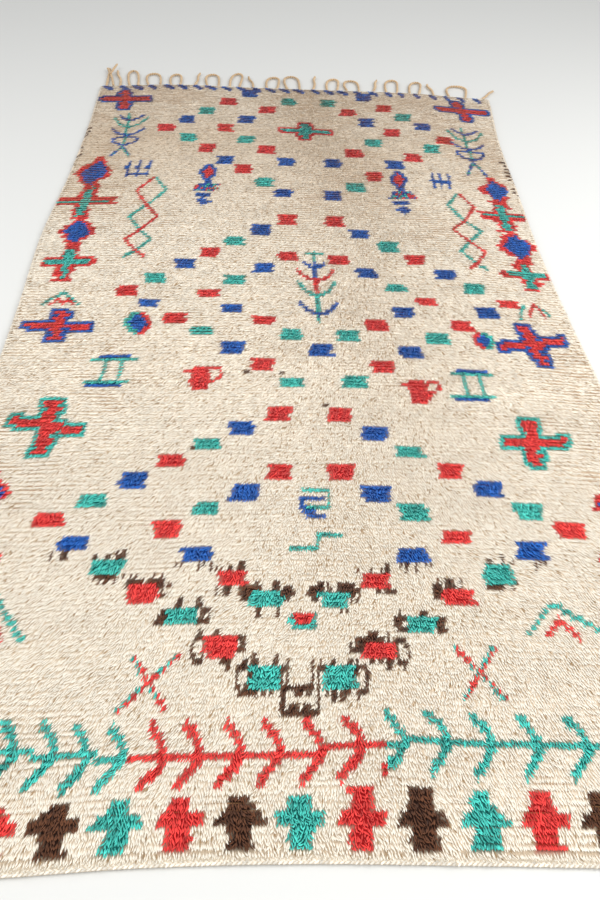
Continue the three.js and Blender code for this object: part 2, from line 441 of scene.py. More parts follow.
@dataclass(frozen=True)
class ClothPlan:
    """Where the knotted cloth lies: its four uneven edges, and the heights of its ground and pile.

    The edges are read at equal steps, the sides along the rug and the ends across it. The falls are
    how wide the bed slopes down at each edge, and the waves how long its swells and ripples are.
    """

    left: tuple[float, ...] = (-0.648, -0.646, -0.642, -0.639, -0.644, -0.655, -0.643, -0.641, -0.650)
    right: tuple[float, ...] = (0.652, 0.657, 0.662, 0.661, 0.644, 0.634, 0.636, 0.637, 0.656)
    near: tuple[float, ...] = (0.0, 0.005, 0.020, 0.026, 0.024, 0.020, 0.014)
    far: tuple[float, ...] = (2.580, 2.596, 2.587, 2.575, 2.563, 2.550, 2.512)
    width: float = 1.300
    length: float = 2.550
    ground_thick: float = 0.0035
    pile_top: float = 0.0138
    bed_drop: float = 0.0032
    edge_bulge: float = 0.0015
    hem_width: float = 0.004
    hem_fall: float = 0.010
    end_fall: float = 0.012
    side_fall: float = 0.013
    shoulder: float = 0.002
    swell: float = 0.0007
    swell_waves: tuple[float, ...] = (0.071, 0.133, 0.058, 0.24)
    ripple: float = 0.0004
    ripple_waves: tuple[float, ...] = (0.019, 0.083)
    wander: float = 0.0045
    wander_cell: float = 0.13
    wander_calm: float = 0.050

    def zero(self) -> np.ndarray:
        """Where the plan's own zero lies in the frame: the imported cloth's box set against the edges."""
        low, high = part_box("knotted_cloth")
        turn = np.linspace(0.0, 1.0, 200)
        middle = (catmull_rom(self.left, turn).min() + catmull_rom(self.right, turn).max()) / 2
        near = catmull_rom(self.near, turn).min() - self.edge_bulge
        return np.array([(low.x + high.x) / 2 - middle, low.y - near])

    def place(self, s: np.ndarray, t: np.ndarray) -> tuple[np.ndarray, np.ndarray]:
        """The floor point a share s of the way across the cloth and t of the way along it.

        Across, it is the straight blend from the left edge to the right edge read at t, and along,
        the straight blend from the near edge to the far edge read at s. The rows of knots wander
        along the rug by smooth unevenness, which dies away over the last 50 mm before both ends.

        Args:
            s, t: the two shares, from 0 to 1.

        Returns:
            x and y in the frame.
        """
        left, right = catmull_rom(self.left, t), catmull_rom(self.right, t)
        near, far = catmull_rom(self.near, s), catmull_rom(self.far, s)
        zero = self.zero()
        free = np.clip(np.minimum(t, 1.0 - t) * self.length / self.wander_calm, 0.0, 1.0)
        wave = self.wander * free * uneven(8, s * self.width, t * self.length, self.wander_cell)
        return zero[0] + left + (right - left) * s, zero[1] + near + (far - near) * t + wave

    def top(self, x: np.ndarray, y: np.ndarray) -> np.ndarray:
        """The pile's height: broad swells, a product of two bent sine waves, and ripples along the rug.

        Args:
            x, y: places in the frame.

        Returns:
            The heights.
        """
        across, bend, along, turn = self.swell_waves
        swell = np.sin(x / across + 1.3 * np.sin(y / bend)) * np.cos(y / along + x / turn)
        pitch, sway = self.ripple_waves
        ripple = np.sin(y / pitch + 0.9 * np.sin(x / sway))
        return self.pile_top + self.swell * swell + self.ripple * ripple

    def bed(self, s: np.ndarray, t: np.ndarray, x: np.ndarray, y: np.ndarray) -> np.ndarray:
        """The height of the dense bed of knots under the loose yarn ends.

        It lies a fixed drop under the pile's top, and comes down to the woven ground at the hem and
        the far end and to a low shoulder at the sides: the height is blended by the smooth step
        3u^2 - 2u^3 of the distance from each edge, over its own fall.

        Args:
            s, t: shares of the way across and along the cloth.
            x, y: the same places in the frame.

        Returns:
            The heights.
        """
        height = self.top(x, y) - self.bed_drop
        falls = ((t * self.length - self.hem_width, self.hem_fall, self.ground_thick),
                 ((1.0 - t) * self.length, self.end_fall, self.ground_thick),
                 (np.minimum(s, 1.0 - s) * self.width, self.side_fall, self.ground_thick + self.shoulder))
        for distance, fall, low in falls:
            u = np.clip(distance / fall, 0.0, 1.0)
            u = u * u * (3 - 2 * u)
            height = low + (height - low) * u
        return height


class DesignChart:
    """Which yarn each knot is tied with.

    The chart is flat and even: across runs from -650 to 650 mm and along from 0 at the near edge to
    2550 mm at the far edge. Motifs are painted by their real sizes onto the grid of knots.
    """

    WIDE = 1300.0
    LONG = 2550.0
    PEN = 6.0
    RIM = 9.0
    CHECK_WIDE = 50.0
    TUFT_PLACES = 400

    def __init__(self, columns: int, rows: int, first: float, last: float) -> None:
        """Starts an all cream chart.

        Args:
            columns: knots in each row.
            rows: rows of knots.
            first, last: how far along the pile starts and ends, in millimetres.
        """
        self.knot = self.WIDE / columns
        self.row = (last - first) / rows
        across = (np.arange(columns) + 0.5) * self.knot - self.WIDE / 2
        along = first + (np.arange(rows) + 0.5) * self.row
        self.x, self.y = np.meshgrid(across, along)
        self.yarn = np.full((rows, columns), int(Yarn.CREAM))
        self.chance = np.random.default_rng(11)

    def paint(self, region: np.ndarray, yarn: Yarn) -> None:
        """Ties the knots of a region with one yarn."""
        self.yarn[region] = int(yarn)

    def ragged(self, reach: float) -> np.ndarray:
        """An uneven shift for each row of knots, up to the given reach in millimetres."""
        return self.chance.uniform(-reach, reach, (self.yarn.shape[0], 1))

    def oblong(self, x: float | np.ndarray, y: float | np.ndarray, wide: float, tall: float,
               rag: float = 0.0) -> np.ndarray:
        """The region of an upright oblong, its left and right ends ragged by rows.

        Args:
            x, y: its middle, which may shift from knot to knot.
            wide, tall: its size.
            rag: how far its ends shift by chance.

        Returns:
            The region.
        """
        right = np.abs(self.x - x + self.ragged(rag)) < wide / 2
        left = np.abs(self.x - x + self.ragged(rag)) < wide / 2
        side = self.x > x
        return np.where(side, right, left) & (np.abs(self.y - y) < tall / 2)

    def lozenge(self, x: float, y: float, wide: float, tall: float, rag: float = 0.0,
                blunt: float = 1.0) -> np.ndarray:
        """The region of a diamond: its width and height shares, to the power blunt, add up to under one.

        Args:
            x, y: its middle.
            wide, tall: its size.
            rag: how far its rows shift by chance.
            blunt: 1 for straight sides, and more for rounder ones.

        Returns:
            The region.
        """
        across = (np.abs(self.x - x + self.ragged(rag)) / (wide / 2)) ** blunt
        along = (np.abs(self.y - y) / (tall / 2)) ** blunt
        return across + along < 1.0

    def grown(self, region: np.ndarray, sideways: float) -> np.ndarray:
        """A region and the knots next to it, with one more row above and below.

        Args:
            region: the region to grow.
            sideways: how far it grows to its left and right, in millimetres.

        Returns:
            The larger region.
        """
        result = region.copy()
        for _ in range(round(sideways / self.knot)):
            wider = result.copy()
            wider[:, 1:] |= result[:, :-1]
            wider[:, :-1] |= result[:, 1:]
            result = wider
        taller = result.copy()
        taller[1:] |= result[:-1]
        taller[:-1] |= result[1:]
        return taller

    def line(self, points: list[Place], weight: float) -> np.ndarray:
        """The region of a line through points.

        A knot belongs to it when its distance to a stretch of the line, counted in pen widths across
        and rows along, is under half the weight.

        Args:
            points: the places that the line goes through, in millimetres.
            weight: the line's thickness, in pen widths or rows.

        Returns:
            The region.
        """
        region = np.zeros(self.yarn.shape, bool)
        u, v = self.x / self.PEN, self.y / self.row
        for (x0, y0), (x1, y1) in zip(points, points[1:]):
            a, b = x0 / self.PEN, y0 / self.row
            du, dv = x1 / self.PEN - a, y1 / self.row - b
            share = np.clip(((u - a) * du + (v - b) * dv) / max(du * du + dv * dv, 1e-9), 0.0, 1.0)
            region |= np.hypot(u - a - share * du, v - b - share * dv) < weight / 2
        return region

    def stroke(self, points: list[Place], weight: float, yarn: Yarn) -> None:
        """Paints a line through points."""
        self.paint(self.line(points, weight), yarn)

    def block(self, x: float, y: float, wide: float, tall: float, yarn: Yarn, rag: float = 0.0) -> None:
        """Paints an upright oblong."""
        self.paint(self.oblong(x, y, wide, tall, rag), yarn)

    def edged(self, region: np.ndarray, core: Yarn, rim: Yarn) -> None:
        """Paints a region in one yarn and the knots around it in another."""
        self.paint(self.grown(region, self.RIM), rim)
        self.paint(region, core)

    def check(self, x: float, y: float, yarn: Yarn, tall: float | None = None) -> None:
        """Paints one small check, the commonest motif, a row or two taller towards the far end."""
        tall = tall or float(np.interp(y, (1300.0, 2000.0), (39.0, 56.0)))
        self.block(x, y, self.CHECK_WIDE, tall, yarn, rag=5.5)

    def teeth(self, x: float, edge: float, wide: float, reach: float, share: float) -> np.ndarray:
        """Upright tufts of uneven height along an edge, some a knot wide.

        Args:
            x: the edge's middle.
            edge: how far along it lies.
            wide: its length.
            reach: the tallest tuft, below zero where the tufts point to the near end.
            share: the chance of a tuft at each half knot.

        Returns:
            The region.
        """
        place = np.floor(self.x / self.knot).astype(int)
        count = self.TUFT_PLACES
        height = self.chance.uniform(0.35, 1.0, count) * (self.chance.random(count) < share)
        height = np.maximum(height, np.roll(height, 1) * (self.chance.random(count) < 0.35))
        up = (self.y - edge) / reach
        return (np.abs(self.x - x) < wide / 2) & (up > 0.0) & (up < height[place])

    def ring(self, x: float, y: float, wide: float, tall: float) -> np.ndarray:
        """The region of an upright oval outline: the two squared shares add up to between 0.3 and 1."""
        share = ((self.x - x) / (wide / 2)) ** 2 + ((self.y - y) / (tall / 2)) ** 2
        return (share < 1.0) & (share > 0.3)

    def cross(self, x: float, y: float, arm: tuple[float, float], bar: tuple[float, float],
              core: Yarn, rim: Yarn, tilt: float = 0.0, slant: float = 0.0) -> None:
        """Paints an edged cross with ragged ends.

        Args:
            x, y: its middle.
            arm: the arm's length, and its thickness in rows, without its edging.
            bar: width and height of the upright bar, without its edging.
            core, rim: the yarns of the cross and of its edging.
            tilt: how much the arm rises for each millimetre to the right.
            slant: how much the bar goes right for each millimetre along.
        """
        arm_y = y + tilt * (self.x - x)
        bar_x = x + slant * (self.y - y)
        across = self.oblong(x, arm_y, arm[0], arm[1] * self.row, rag=8.0)
        upright = self.oblong(bar_x, y, *bar, rag=8.0)
        self.edged(across | upright, core, rim)

    def speckled(self, region: np.ndarray, share: float) -> np.ndarray:
        """The knots of a region that chance picks, in the given share."""
        return region & (self.chance.random(self.yarn.shape) < share)

    def stepped(self, x: float, base: float, widths: tuple[float, ...], yarn: Yarn) -> None:
        """Paints a figure built up of rows.

        Args:
            x: its middle.
            base: how far along its lowest row lies.
            widths: the width of each row of knots, from the lowest up.
            yarn: its yarn.
        """
        for k, width in enumerate(widths):
            self.block(x, base + k * self.row, width, self.row * 1.01, yarn, rag=4.0)


@dataclass(frozen=True)
class CheckString:
    """A row of checks that steps away from the design's middle line, and its mirror image.

    Distances are in millimetres, from the middle line and along the rug. The yarns are read from the
    string's start: R for red, B for blue and G for green. brown gives each check's brown edging, as
    tufts() reads it, and tall the checks' height where it isn't the usual one. drop is how much nearer
    the right-hand half lies than the left-hand one, at the string's start and at its end.
    """

    middle: float
    start: tuple[float, float]
    end: tuple[float, float]
    yarns: str
    brown: tuple[str, ...] = ()
    tall: float | None = None
    drop: tuple[float, float] = (0.0, 0.0)

    LETTERS = {"R": Yarn.RED, "B": Yarn.BLUE, "G": Yarn.GREEN}

    def paint(self, chart: DesignChart) -> None:
        """Paints the checks, each after its brown tufts, as even steps from start to end.

        Args:
            chart: the chart to paint on.
        """
        steps = max(len(self.yarns) - 1, 1)
        for k, letter in enumerate(self.yarns):
            offset, along = (a + (b - a) * k / steps for a, b in zip(self.start, self.end))
            for side in (-1, 1):
                x = self.middle + side * (offset + chart.chance.uniform(-3.0, 3.0))
                y = along + side * chart.chance.uniform(-5.0, 5.0)
                if side > 0:
                    y -= self.drop[0] + (self.drop[1] - self.drop[0]) * k / steps
                if self.brown:
                    self.tufts(chart, x, y, side, self.brown[k])
                chart.check(x, y, self.LETTERS[letter], self.tall)

    def tufts(self, chart: DesignChart, x: float, y: float, side: int, kinds: str) -> None:
        """Paints broken brown edging around one check.

        Args:
            chart: the chart to paint on.
            x, y: the check's middle.
            side: -1 where the outer side is the left one, and 1 where it is the right one.
            kinds: O or I for a clump at the outer or inner side, R or P for an open ring there, T or B
                for teeth above or below, and t or b for a few of them.
        """
        for kind in kinds:
            if kind in "OI":
                out = side if kind == "O" else -side
                region = chart.speckled(chart.oblong(x + out * 33.0, y + 7.0, 18.0, 32.0, rag=5.0), 0.88)
            elif kind in "RP":
                out = side if kind == "R" else -side
                region = chart.ring(x + out * 35.0, y - 2.0, 25.0, 64.0)
            else:
                up = 1.0 if kind in "Tt" else -1.0
                region = chart.teeth(x, y + up * 15.0, 66.0, up * 26.0, 0.60 if kind in "TB" else 0.24)
            chart.paint(region, Yarn.BROWN)


CHECK_STRINGS = (
    CheckString(40, (190, 2484), (440, 2209), "BRGBR", drop=(0, 14)),
    CheckString(51, (376, 2140), (69, 1811), "GRBRGB", drop=(14, 6)),
    CheckString(46, (66, 2430), (193, 2287), "GRB"),
    CheckString(53, (263, 2218), (69, 2003), "RGRB"),
    CheckString(56, (65, 1670), (458, 1324), "RBGRBGR", drop=(0, 24)),
    CheckString(55, (400, 1270), (67, 993), "BRGBRG"),
    CheckString(60, (64, 1482), (261, 1320), "RBGR", drop=(0, 14)),
    CheckString(56, (200, 1252), (62, 1159), "BRG"),
    CheckString(19, (64, 890), (468, 608), "RBGRBGR", drop=(8, 17)),
    CheckString(6, (402, 553), (57, 274), "BGRGRG", ("b", "otB", "TI", "OIt", "RITb", "RTB"), drop=(16, 4)),
    CheckString(22, (57, 722), (257, 581), "RBGR", drop=(0, 11)),
    CheckString(11, (188, 521), (122, 469), "BR", ("b", "tb")),
    CheckString(6, (56, 422), (56, 422), "G", ("OITb",), 29.0),
)


class RugDesign:
    """The motifs of the whole rug, painted from the far end to the near end."""

    def __init__(self, chart: DesignChart) -> None:
        """Keeps the chart to paint.

        Args:
            chart: the chart of knots.
        """
        self.chart = chart

    def paint(self) -> None:
        """Paints every motif."""
        self.far_border()
        for string in CHECK_STRINGS:
            string.paint(self.chart)
        self.chart.check(56, 1107, Yarn.BLUE)
        self.crosses()
        self.side_columns()
        self.trees()
        self.small_signs()
        self.near_signs()
        self.fishbone()
        self.near_figures()
        self.edge_marks()

    def edge_marks(self) -> None:
        """Short brown bars of pile at both edges, a row thick, with a cream row between two of them."""
        chart = self.chart
        for x, wide, start, end in ((637, 18, 1962, 2076), (638, 10, 1880, 1915), (-640, 10, 2165, 2212),
                                    (-640, 10, 2036, 2090)):
            for y in np.arange(start, end, 2.0 * chart.row):
                chart.block(x, y, wide, chart.row, Yarn.BROWN, rag=5)

    def far_border(self) -> None:
        """Short slanting blue dashes along the far edge, one every 49 mm, the right-hand ones shorter."""
        chart = self.chart
        for x in np.arange(-618.0, 640.0, 49.0):
            half = 12.0 if x < 300 else 6.0
            shift, length = chart.chance.uniform(-4.0, 4.0), chart.chance.uniform(0.7, 1.2)
            start, end = x + shift - half * length, x + shift + half * length
            chart.stroke([(start, 2534.0), (end, 2512.0)], 2.5, Yarn.BLUE)

    def crosses(self) -> None:
        """The large edged crosses near the sides and the one on the middle line."""
        chart = self.chart
        chart.cross(-556, 2425, (148, 3), (25, 150), Yarn.RED, Yarn.BLUE, slant=-0.06)
        chart.cross(549, 2427, (150, 3), (22, 150), Yarn.RED, Yarn.BLUE, slant=-0.24)
        chart.cross(43, 2212, (150, 2), (34, 110), Yarn.GREEN, Yarn.RED)
        chart.cross(-541, 1188, (154, 1.7), (24, 110), Yarn.RED, Yarn.BLUE, tilt=-0.12)
        chart.cross(536, 1158, (150, 2), (21, 142), Yarn.RED, Yarn.BLUE, tilt=0.24, slant=-0.09)
        chart.cross(-502, 856, (146, 2), (29, 148), Yarn.RED, Yarn.GREEN, tilt=-0.24)
        chart.cross(462, 822, (124, 2), (22, 140), Yarn.RED, Yarn.GREEN, tilt=0.08, slant=0.06)

    def side_columns(self) -> None:
        """Upright columns near both sides, of edged diamonds and slim crosses, one with a red shoulder."""
        chart = self.chart
        diamonds = ((-577, 1921, 96, 176), (-557, 1595, 86, 146), (584, 1886, 76, 146),
                    (591, 1579, 92, 150), (-578, 672, 84, 96), (584, 660, 84, 82))
        crosses = ((-569, 1757, 172, 196), (-559, 1450, 140, 176), (583, 1738, 130, 172),
                   (591, 1448, 130, 152), (-574, 530, 110, 84), (578, 516, 110, 100))
        for x, y, wide, tall in crosses:
            self.slim_cross(x, y, wide, tall, 1 if y > 1600 else 2)
        shoulder = chart.lozenge(-563, 1757, 104, 132, rag=8) & (chart.y > 1757)
        chart.paint(shoulder & (chart.yarn == int(Yarn.CREAM)), Yarn.RED)
        for x, y, wide, tall in diamonds:
            chart.paint(chart.lozenge(x, y, wide + 12.0, tall, rag=9, blunt=1.2), Yarn.RED)
            chart.block(x, y, 24.0, tall + 20.0, Yarn.RED, rag=5)
            chart.paint(chart.lozenge(x + 2, y, wide * 0.80, tall * 0.80, rag=6, blunt=1.15), Yarn.BLUE)

    def slim_cross(self, x: float, y: float, wide: float, tall: float, arm: int) -> None:
        """Paints a slim green cross between ragged red edges.

        Args:
            x, y: its middle.
            wide, tall: its reach across and along, with its edges.
            arm: how many rows of knots thick its green arm is.
        """
        row = self.chart.row
        for across, along, yarn, rag in ((46.0, tall, Yarn.RED, 9), (wide, 3.95 * row, Yarn.RED, 9),
                                         (21.0, tall - 2.4 * row, Yarn.GREEN, 6),
                                         (wide - 30.0, arm * row, Yarn.GREEN, 8)):
            self.chart.block(x, y, across, along, yarn, rag)

    def branches(self, x: float, y: float, yarn: Yarn, *pairs: tuple[float, float, float]) -> None:
        """Paints pairs of branches that rise from a stem.

        Args:
            x, y: the foot of the stem.
            yarn: the branches' yarn.
            pairs: for each pair, how high it starts, how far it spreads and how far it rises.
        """
        for start, spread, rise in pairs:
            for side in (-1, 1):
                points = [(x, y + start), (x + side * spread * 0.6, y + start + rise * 0.35),
                          (x + side * spread, y + start + rise)]
                self.chart.stroke(points, 1.35, yarn)

    def trees(self) -> None:
        """Two tall trees near the sides and a smaller one on the middle line."""
        chart = self.chart
        for x, crotch, foot in ((-519, 2078, 56), (546, 2058, 86)):
            chart.stroke([(x, crotch), (x - 8, crotch + 228)], 1.5, Yarn.GREEN)
            self.branches(x, crotch, Yarn.BLUE, (12, 38, 32), (80, 50, 46), (186, 38, 34))
            self.branches(x, crotch, Yarn.GREEN, (136, 52, 66))
            for side in (-1, 1):
                chart.stroke([(x + side * 8, crotch + 66), (x + side * 40, crotch + 60)], 1.1, Yarn.BLUE)
                leg = chart.line([(x, crotch), (x + side * 27, crotch - foot)], 1.5)
                chart.paint(leg, Yarn.BLUE)
                chart.paint(chart.speckled(leg, 0.45), Yarn.GREEN)
        x, foot = 60.0, 1222.0
        chart.stroke([(x - 3, foot - 6), (x, foot + 118)], 1.7, Yarn.GREEN)
        chart.stroke([(x, foot + 242), (x + 2, foot + 284)], 1.4, Yarn.GREEN)
        chart.block(x + 3, foot + 283, 54, chart.row, Yarn.GREEN, rag=6)
        self.branches(x, foot, Yarn.BLUE, (14, 43, 44), (216, 25, 16))
        self.branches(x, foot, Yarn.GREEN, (88, 45, 58))
        self.branches(x, foot, Yarn.RED, (152, 45, 48))
        chart.stroke([(x, foot + 112), (x, foot + 164)], 2.0, Yarn.RED)
        chart.stroke([(x, foot + 176), (x + 1, foot + 232)], 2.2, Yarn.BLUE)

    def small_signs(self) -> None:
        """Combs, chains, small diamonds, ladders, pots, chevrons and stacks, one of each near each side."""
        chart = self.chart
        for x, y, strokes, bar in ((-449, 1940, (-30, 0, 28), -38), (436, 1914, (-23, -3, 22), -3)):
            for stroke in strokes:
                chart.stroke([(x + stroke, y + 42), (x + stroke - 2, y - 42)], 1.35, Yarn.BLUE)
                chart.stroke([(x + stroke - 12, y + 4), (x + stroke, y + 4)], 1.1, Yarn.BLUE)
            chart.stroke([(x + strokes[0] - 4, y + bar), (x + strokes[-1] + 3, y + bar)], 1.3, Yarn.BLUE)
        self.chain(-395, (1884, 1726, 1600, 1500, 1440), (42, 38, 33, 24), 1)
        self.chain(474, (1842, 1693, 1585, 1480, 1440), (36, 37, 31, 20), -1)
        for x, y, wide, tall, left, right in ((-359, 1194, 52, 72, Yarn.GREEN, Yarn.RED),
                                              (423, 1160, 38, 48, Yarn.RED, Yarn.GREEN)):
            diamond = chart.lozenge(x, y, wide, tall, rag=5)
            rim = chart.grown(diamond, 8.0)
            chart.paint(rim & (chart.x < x), left)
            chart.paint(rim & (chart.x >= x), right)
            chart.paint(diamond, Yarn.BLUE)
        for x, y in ((-400, 1028), (372, 991)):
            self.ladder(x, y)
        for x, y in ((-203, 1000), (261, 974)):
            self.pot(x, y)
        self.chevrons(((-548, 1324), (-592, 1272), (-504, 1270), Yarn.GREEN),
                      ((-558, 1296), (-572, 1272), (-543, 1276), Yarn.RED),
                      ((-534, 1294), (-543, 1278), (-519, 1272), Yarn.RED),
                      ((551, 1310), (533, 1256), (551, 1300), Yarn.GREEN),
                      ((586, 1308), (584, 1304), (603, 1270), Yarn.GREEN),
                      ((577, 1318), (556, 1264), (592, 1268), Yarn.RED))
        for x, y in ((-246, 1926), (311, 1914)):
            self.stack(x, y)

    def stack(self, x: float, y: float) -> None:
        """Paints an edged diamond over a block, a spread of three yarns, a block and a blue diamond.

        Args:
            x, y: the edged diamond's middle.
        """
        chart = self.chart
        chart.edged(chart.lozenge(x, y, 34, 88, rag=3), Yarn.RED, Yarn.BLUE)
        chart.block(x + 4, y - 58, 22, 2 * chart.row, Yarn.BLUE)
        spread = chart.oblong(x + 3, y - 86, 68, 4 * chart.row, rag=9)
        chart.paint(spread, Yarn.BLUE)
        for yarn in (Yarn.RED, Yarn.GREEN):
            chart.paint(chart.speckled(spread, 0.32), yarn)
        chart.block(x - 3, y - 132, 42, 2 * chart.row, Yarn.BLUE, rag=7)
        chart.paint(chart.lozenge(x + 2, y - 172, 44, 50, rag=6), Yarn.BLUE)

    def chain(self, x: float, knots: tuple[float, ...], reaches: tuple[float, ...], side: int) -> None:
        """Paints two yarns that wind about each other in straight stretches.

        Between two crossings each yarn goes out to one side, turns halfway and comes back.

        Args:
            x: the chain's middle.
            knots: how far along its crossings lie, from the far one on, the last past its end.
            reaches: how far the yarns swing out between each two crossings.
            side: 1 where the red yarn swings to the left first, and -1 where the green one does.
        """
        for yarn, sign in ((Yarn.GREEN, side), (Yarn.RED, -side)):
            points = [(x + sign * 3.0, knots[0])]
            for index, (start, end) in enumerate(zip(knots, knots[1:])):
                turn = start + (end - start) * 0.45
                points.append((x + sign * reaches[index], turn))
                if index < len(reaches) - 1:
                    points.append((x, end))
                sign = -sign
            self.chart.stroke(points, 1.35, yarn)

    def ladder(self, x: float, y: float) -> None:
        """Paints two double bars, blue on their far and near sides, joined by two thin green posts.

        Args:
            x, y: its middle.
        """
        chart = self.chart
        for post in (-17, 18):
            chart.stroke([(x + post + 2, y + 40), (x + post - 2, y - 36)], 1.35, Yarn.GREEN)
        for rise, blue, shift in ((38, 1, 3), (-34, -1, -8)):
            chart.block(x + shift, y + rise, 96, chart.row, Yarn.GREEN, rag=5)
            chart.block(x + shift, y + rise + blue * chart.row, 76, chart.row, Yarn.BLUE, rag=5)

    def pot(self, x: float, y: float) -> None:
        """Paints a red pot with a spout to the left and a handle to the right.

        Args:
            x, y: its middle.
        """
        chart = self.chart
        chart.stepped(x - 8, y - 36, (34, 44, 46, 46, 44, 42, 36), Yarn.RED)
        chart.stroke([(x - 42, y + 19), (x - 26, y + 19)], 1.1, Yarn.RED)
        handle = [(x + 14, y + 29), (x + 36, y + 29), (x + 38, y + 7), (x + 15, y - 13)]
        chart.stroke(handle, 1.1, Yarn.RED)

    def chevrons(self, *marks: tuple[Place, Place, Place, Yarn]) -> None:
        """Paints chevrons, point up, each given by its peak, its left foot, its right foot and its yarn."""
        for peak, left, right, yarn in marks:
            self.chart.stroke([left, peak, right], 1.15, yarn)

    def near_signs(self) -> None:
        """What stands inside and below the near lozenge."""
        chart = self.chart
        x, y = 29.0, 677.0
        chart.stroke([(x - 22, y), (x + 24, y), (x + 24, y - 45), (x - 16, y - 45)], 1.0, Yarn.GREEN)
        chart.stroke([(x + 18, y - 22), (x - 26, y - 22)], 1.0, Yarn.BLUE)
        hook = [(x - 26, y - 22), (x - 22, y - 52), (x - 14, y - 60), (x + 16, y - 70)]
        chart.stroke(hook, 1.5, Yarn.BLUE)
        x, y = 33.0, 548.0
        step = [(x + 42, y + 16), (x + 2, y + 16), (x - 2, y - 17), (x - 45, y - 17)]
        chart.stroke(step, 1.2, Yarn.GREEN)
        chart.block(10, 380, 47, 3 * chart.row, Yarn.GREEN, rag=4)
        chart.block(9, 385.4, 28, 2 * chart.row, Yarn.RED, rag=3)
        self.nested_steps()
        self.crossed_strokes()
        self.chevrons(((420, 428), (369, 364), (500, 372), Yarn.GREEN),
                      ((426, 396), (401, 366), (453, 364), Yarn.RED),
                      ((-503, 450), (-570, 376), (-437, 354), Yarn.GREEN),
                      ((-500, 410), (-536, 366), (-470, 360), Yarn.RED))
        for x, y in ((-110, 1018), (-35, 1020), (53, 915), (-208, 786)):
            chart.block(x, y, 12, chart.row, Yarn.BROWN)

    def nested_steps(self) -> None:
        """Two brown steps, one inside the other: two posts, a foot and its teeth."""
        chart = self.chart
        for left, right, top, base, post, tooth in ((-14, 25, 306, 259, 1.0, -2.2),
                                                    (-22, 31, 300, 216, 0.8, 2.0)):
            for x in (left, right):
                chart.stroke([(x, top), (x, base)], post, Yarn.BROWN)
            chart.stroke([(left, base), (right, base)], 1.0, Yarn.BROWN)
            teeth = chart.teeth((left + right) / 2, base, right - left, tooth * chart.row, 0.6)
            chart.paint(teeth, Yarn.BROWN)

    def crossed_strokes(self) -> None:
        """Two crossed strokes on each side: green, with red beside each and speckled over it in turns."""
        chart = self.chart
        turns = np.floor(chart.y / (2.0 * chart.row)) % 2 == 0
        for x0, y0, x1, y1 in ((-260, 321, -197, 222), (-187, 318, -272, 226), (250, 334, 317, 244),
                               (309, 336, 252, 244)):
            stroke = chart.line([(x0, y0), (x1, y1)], 0.85)
            chart.paint(stroke, Yarn.GREEN)
            chart.stroke([(x0 + 4, y0), (x1 + 4, y1)], 0.55, Yarn.RED)
            chart.paint(chart.speckled(stroke & turns, 0.5), Yarn.RED)

    def fishbone(self) -> None:
        """A spine right across the rug with ribs like arrow heads, green at the sides and red between."""
        chart = self.chart
        spine = [(-650, 177), (-417, 172), (-260, 153), (-17, 153), (113, 161), (183, 171), (433, 170),
                 (650, 166)]
        ribs = (-615, -562, -508, -455, -402, -348, -298, -245, -187, -135, -77, -22, 38, 95,
                158, 223, 288, 358, 428, 494, 558, 618)
        reds = (-243, 128)
        region = chart.line(spine, 1.05)
        for x in ribs:
            y = float(np.interp(x, *zip(*spine)))
            rib = [(x - 27, y + 46), (x - 12, y + 28), (x, y), (x - 12, y - 20), (x - 32, y - 44)]
            region |= chart.line([(a + chart.chance.uniform(-3, 3), b) for a, b in rib], 1.75)
        chart.paint(region, Yarn.GREEN)
        chart.paint(region & (chart.x > reds[0]) & (chart.x < reds[1]), Yarn.RED)

    def near_figures(self) -> None:
        """Stepped figures above the near hem: brown, green and red by turns, taller right of the middle."""
        widths = (38, 34, 34, 66, 62, 36, 31)
        yarns = (Yarn.BROWN, Yarn.GREEN, Yarn.RED)
        for k in range(15):
            rows = (*widths, 30) if k > 7 else widths
            self.chart.stepped(-578.0 + 83.5 * k, 20.5, rows, yarns[k % 3])


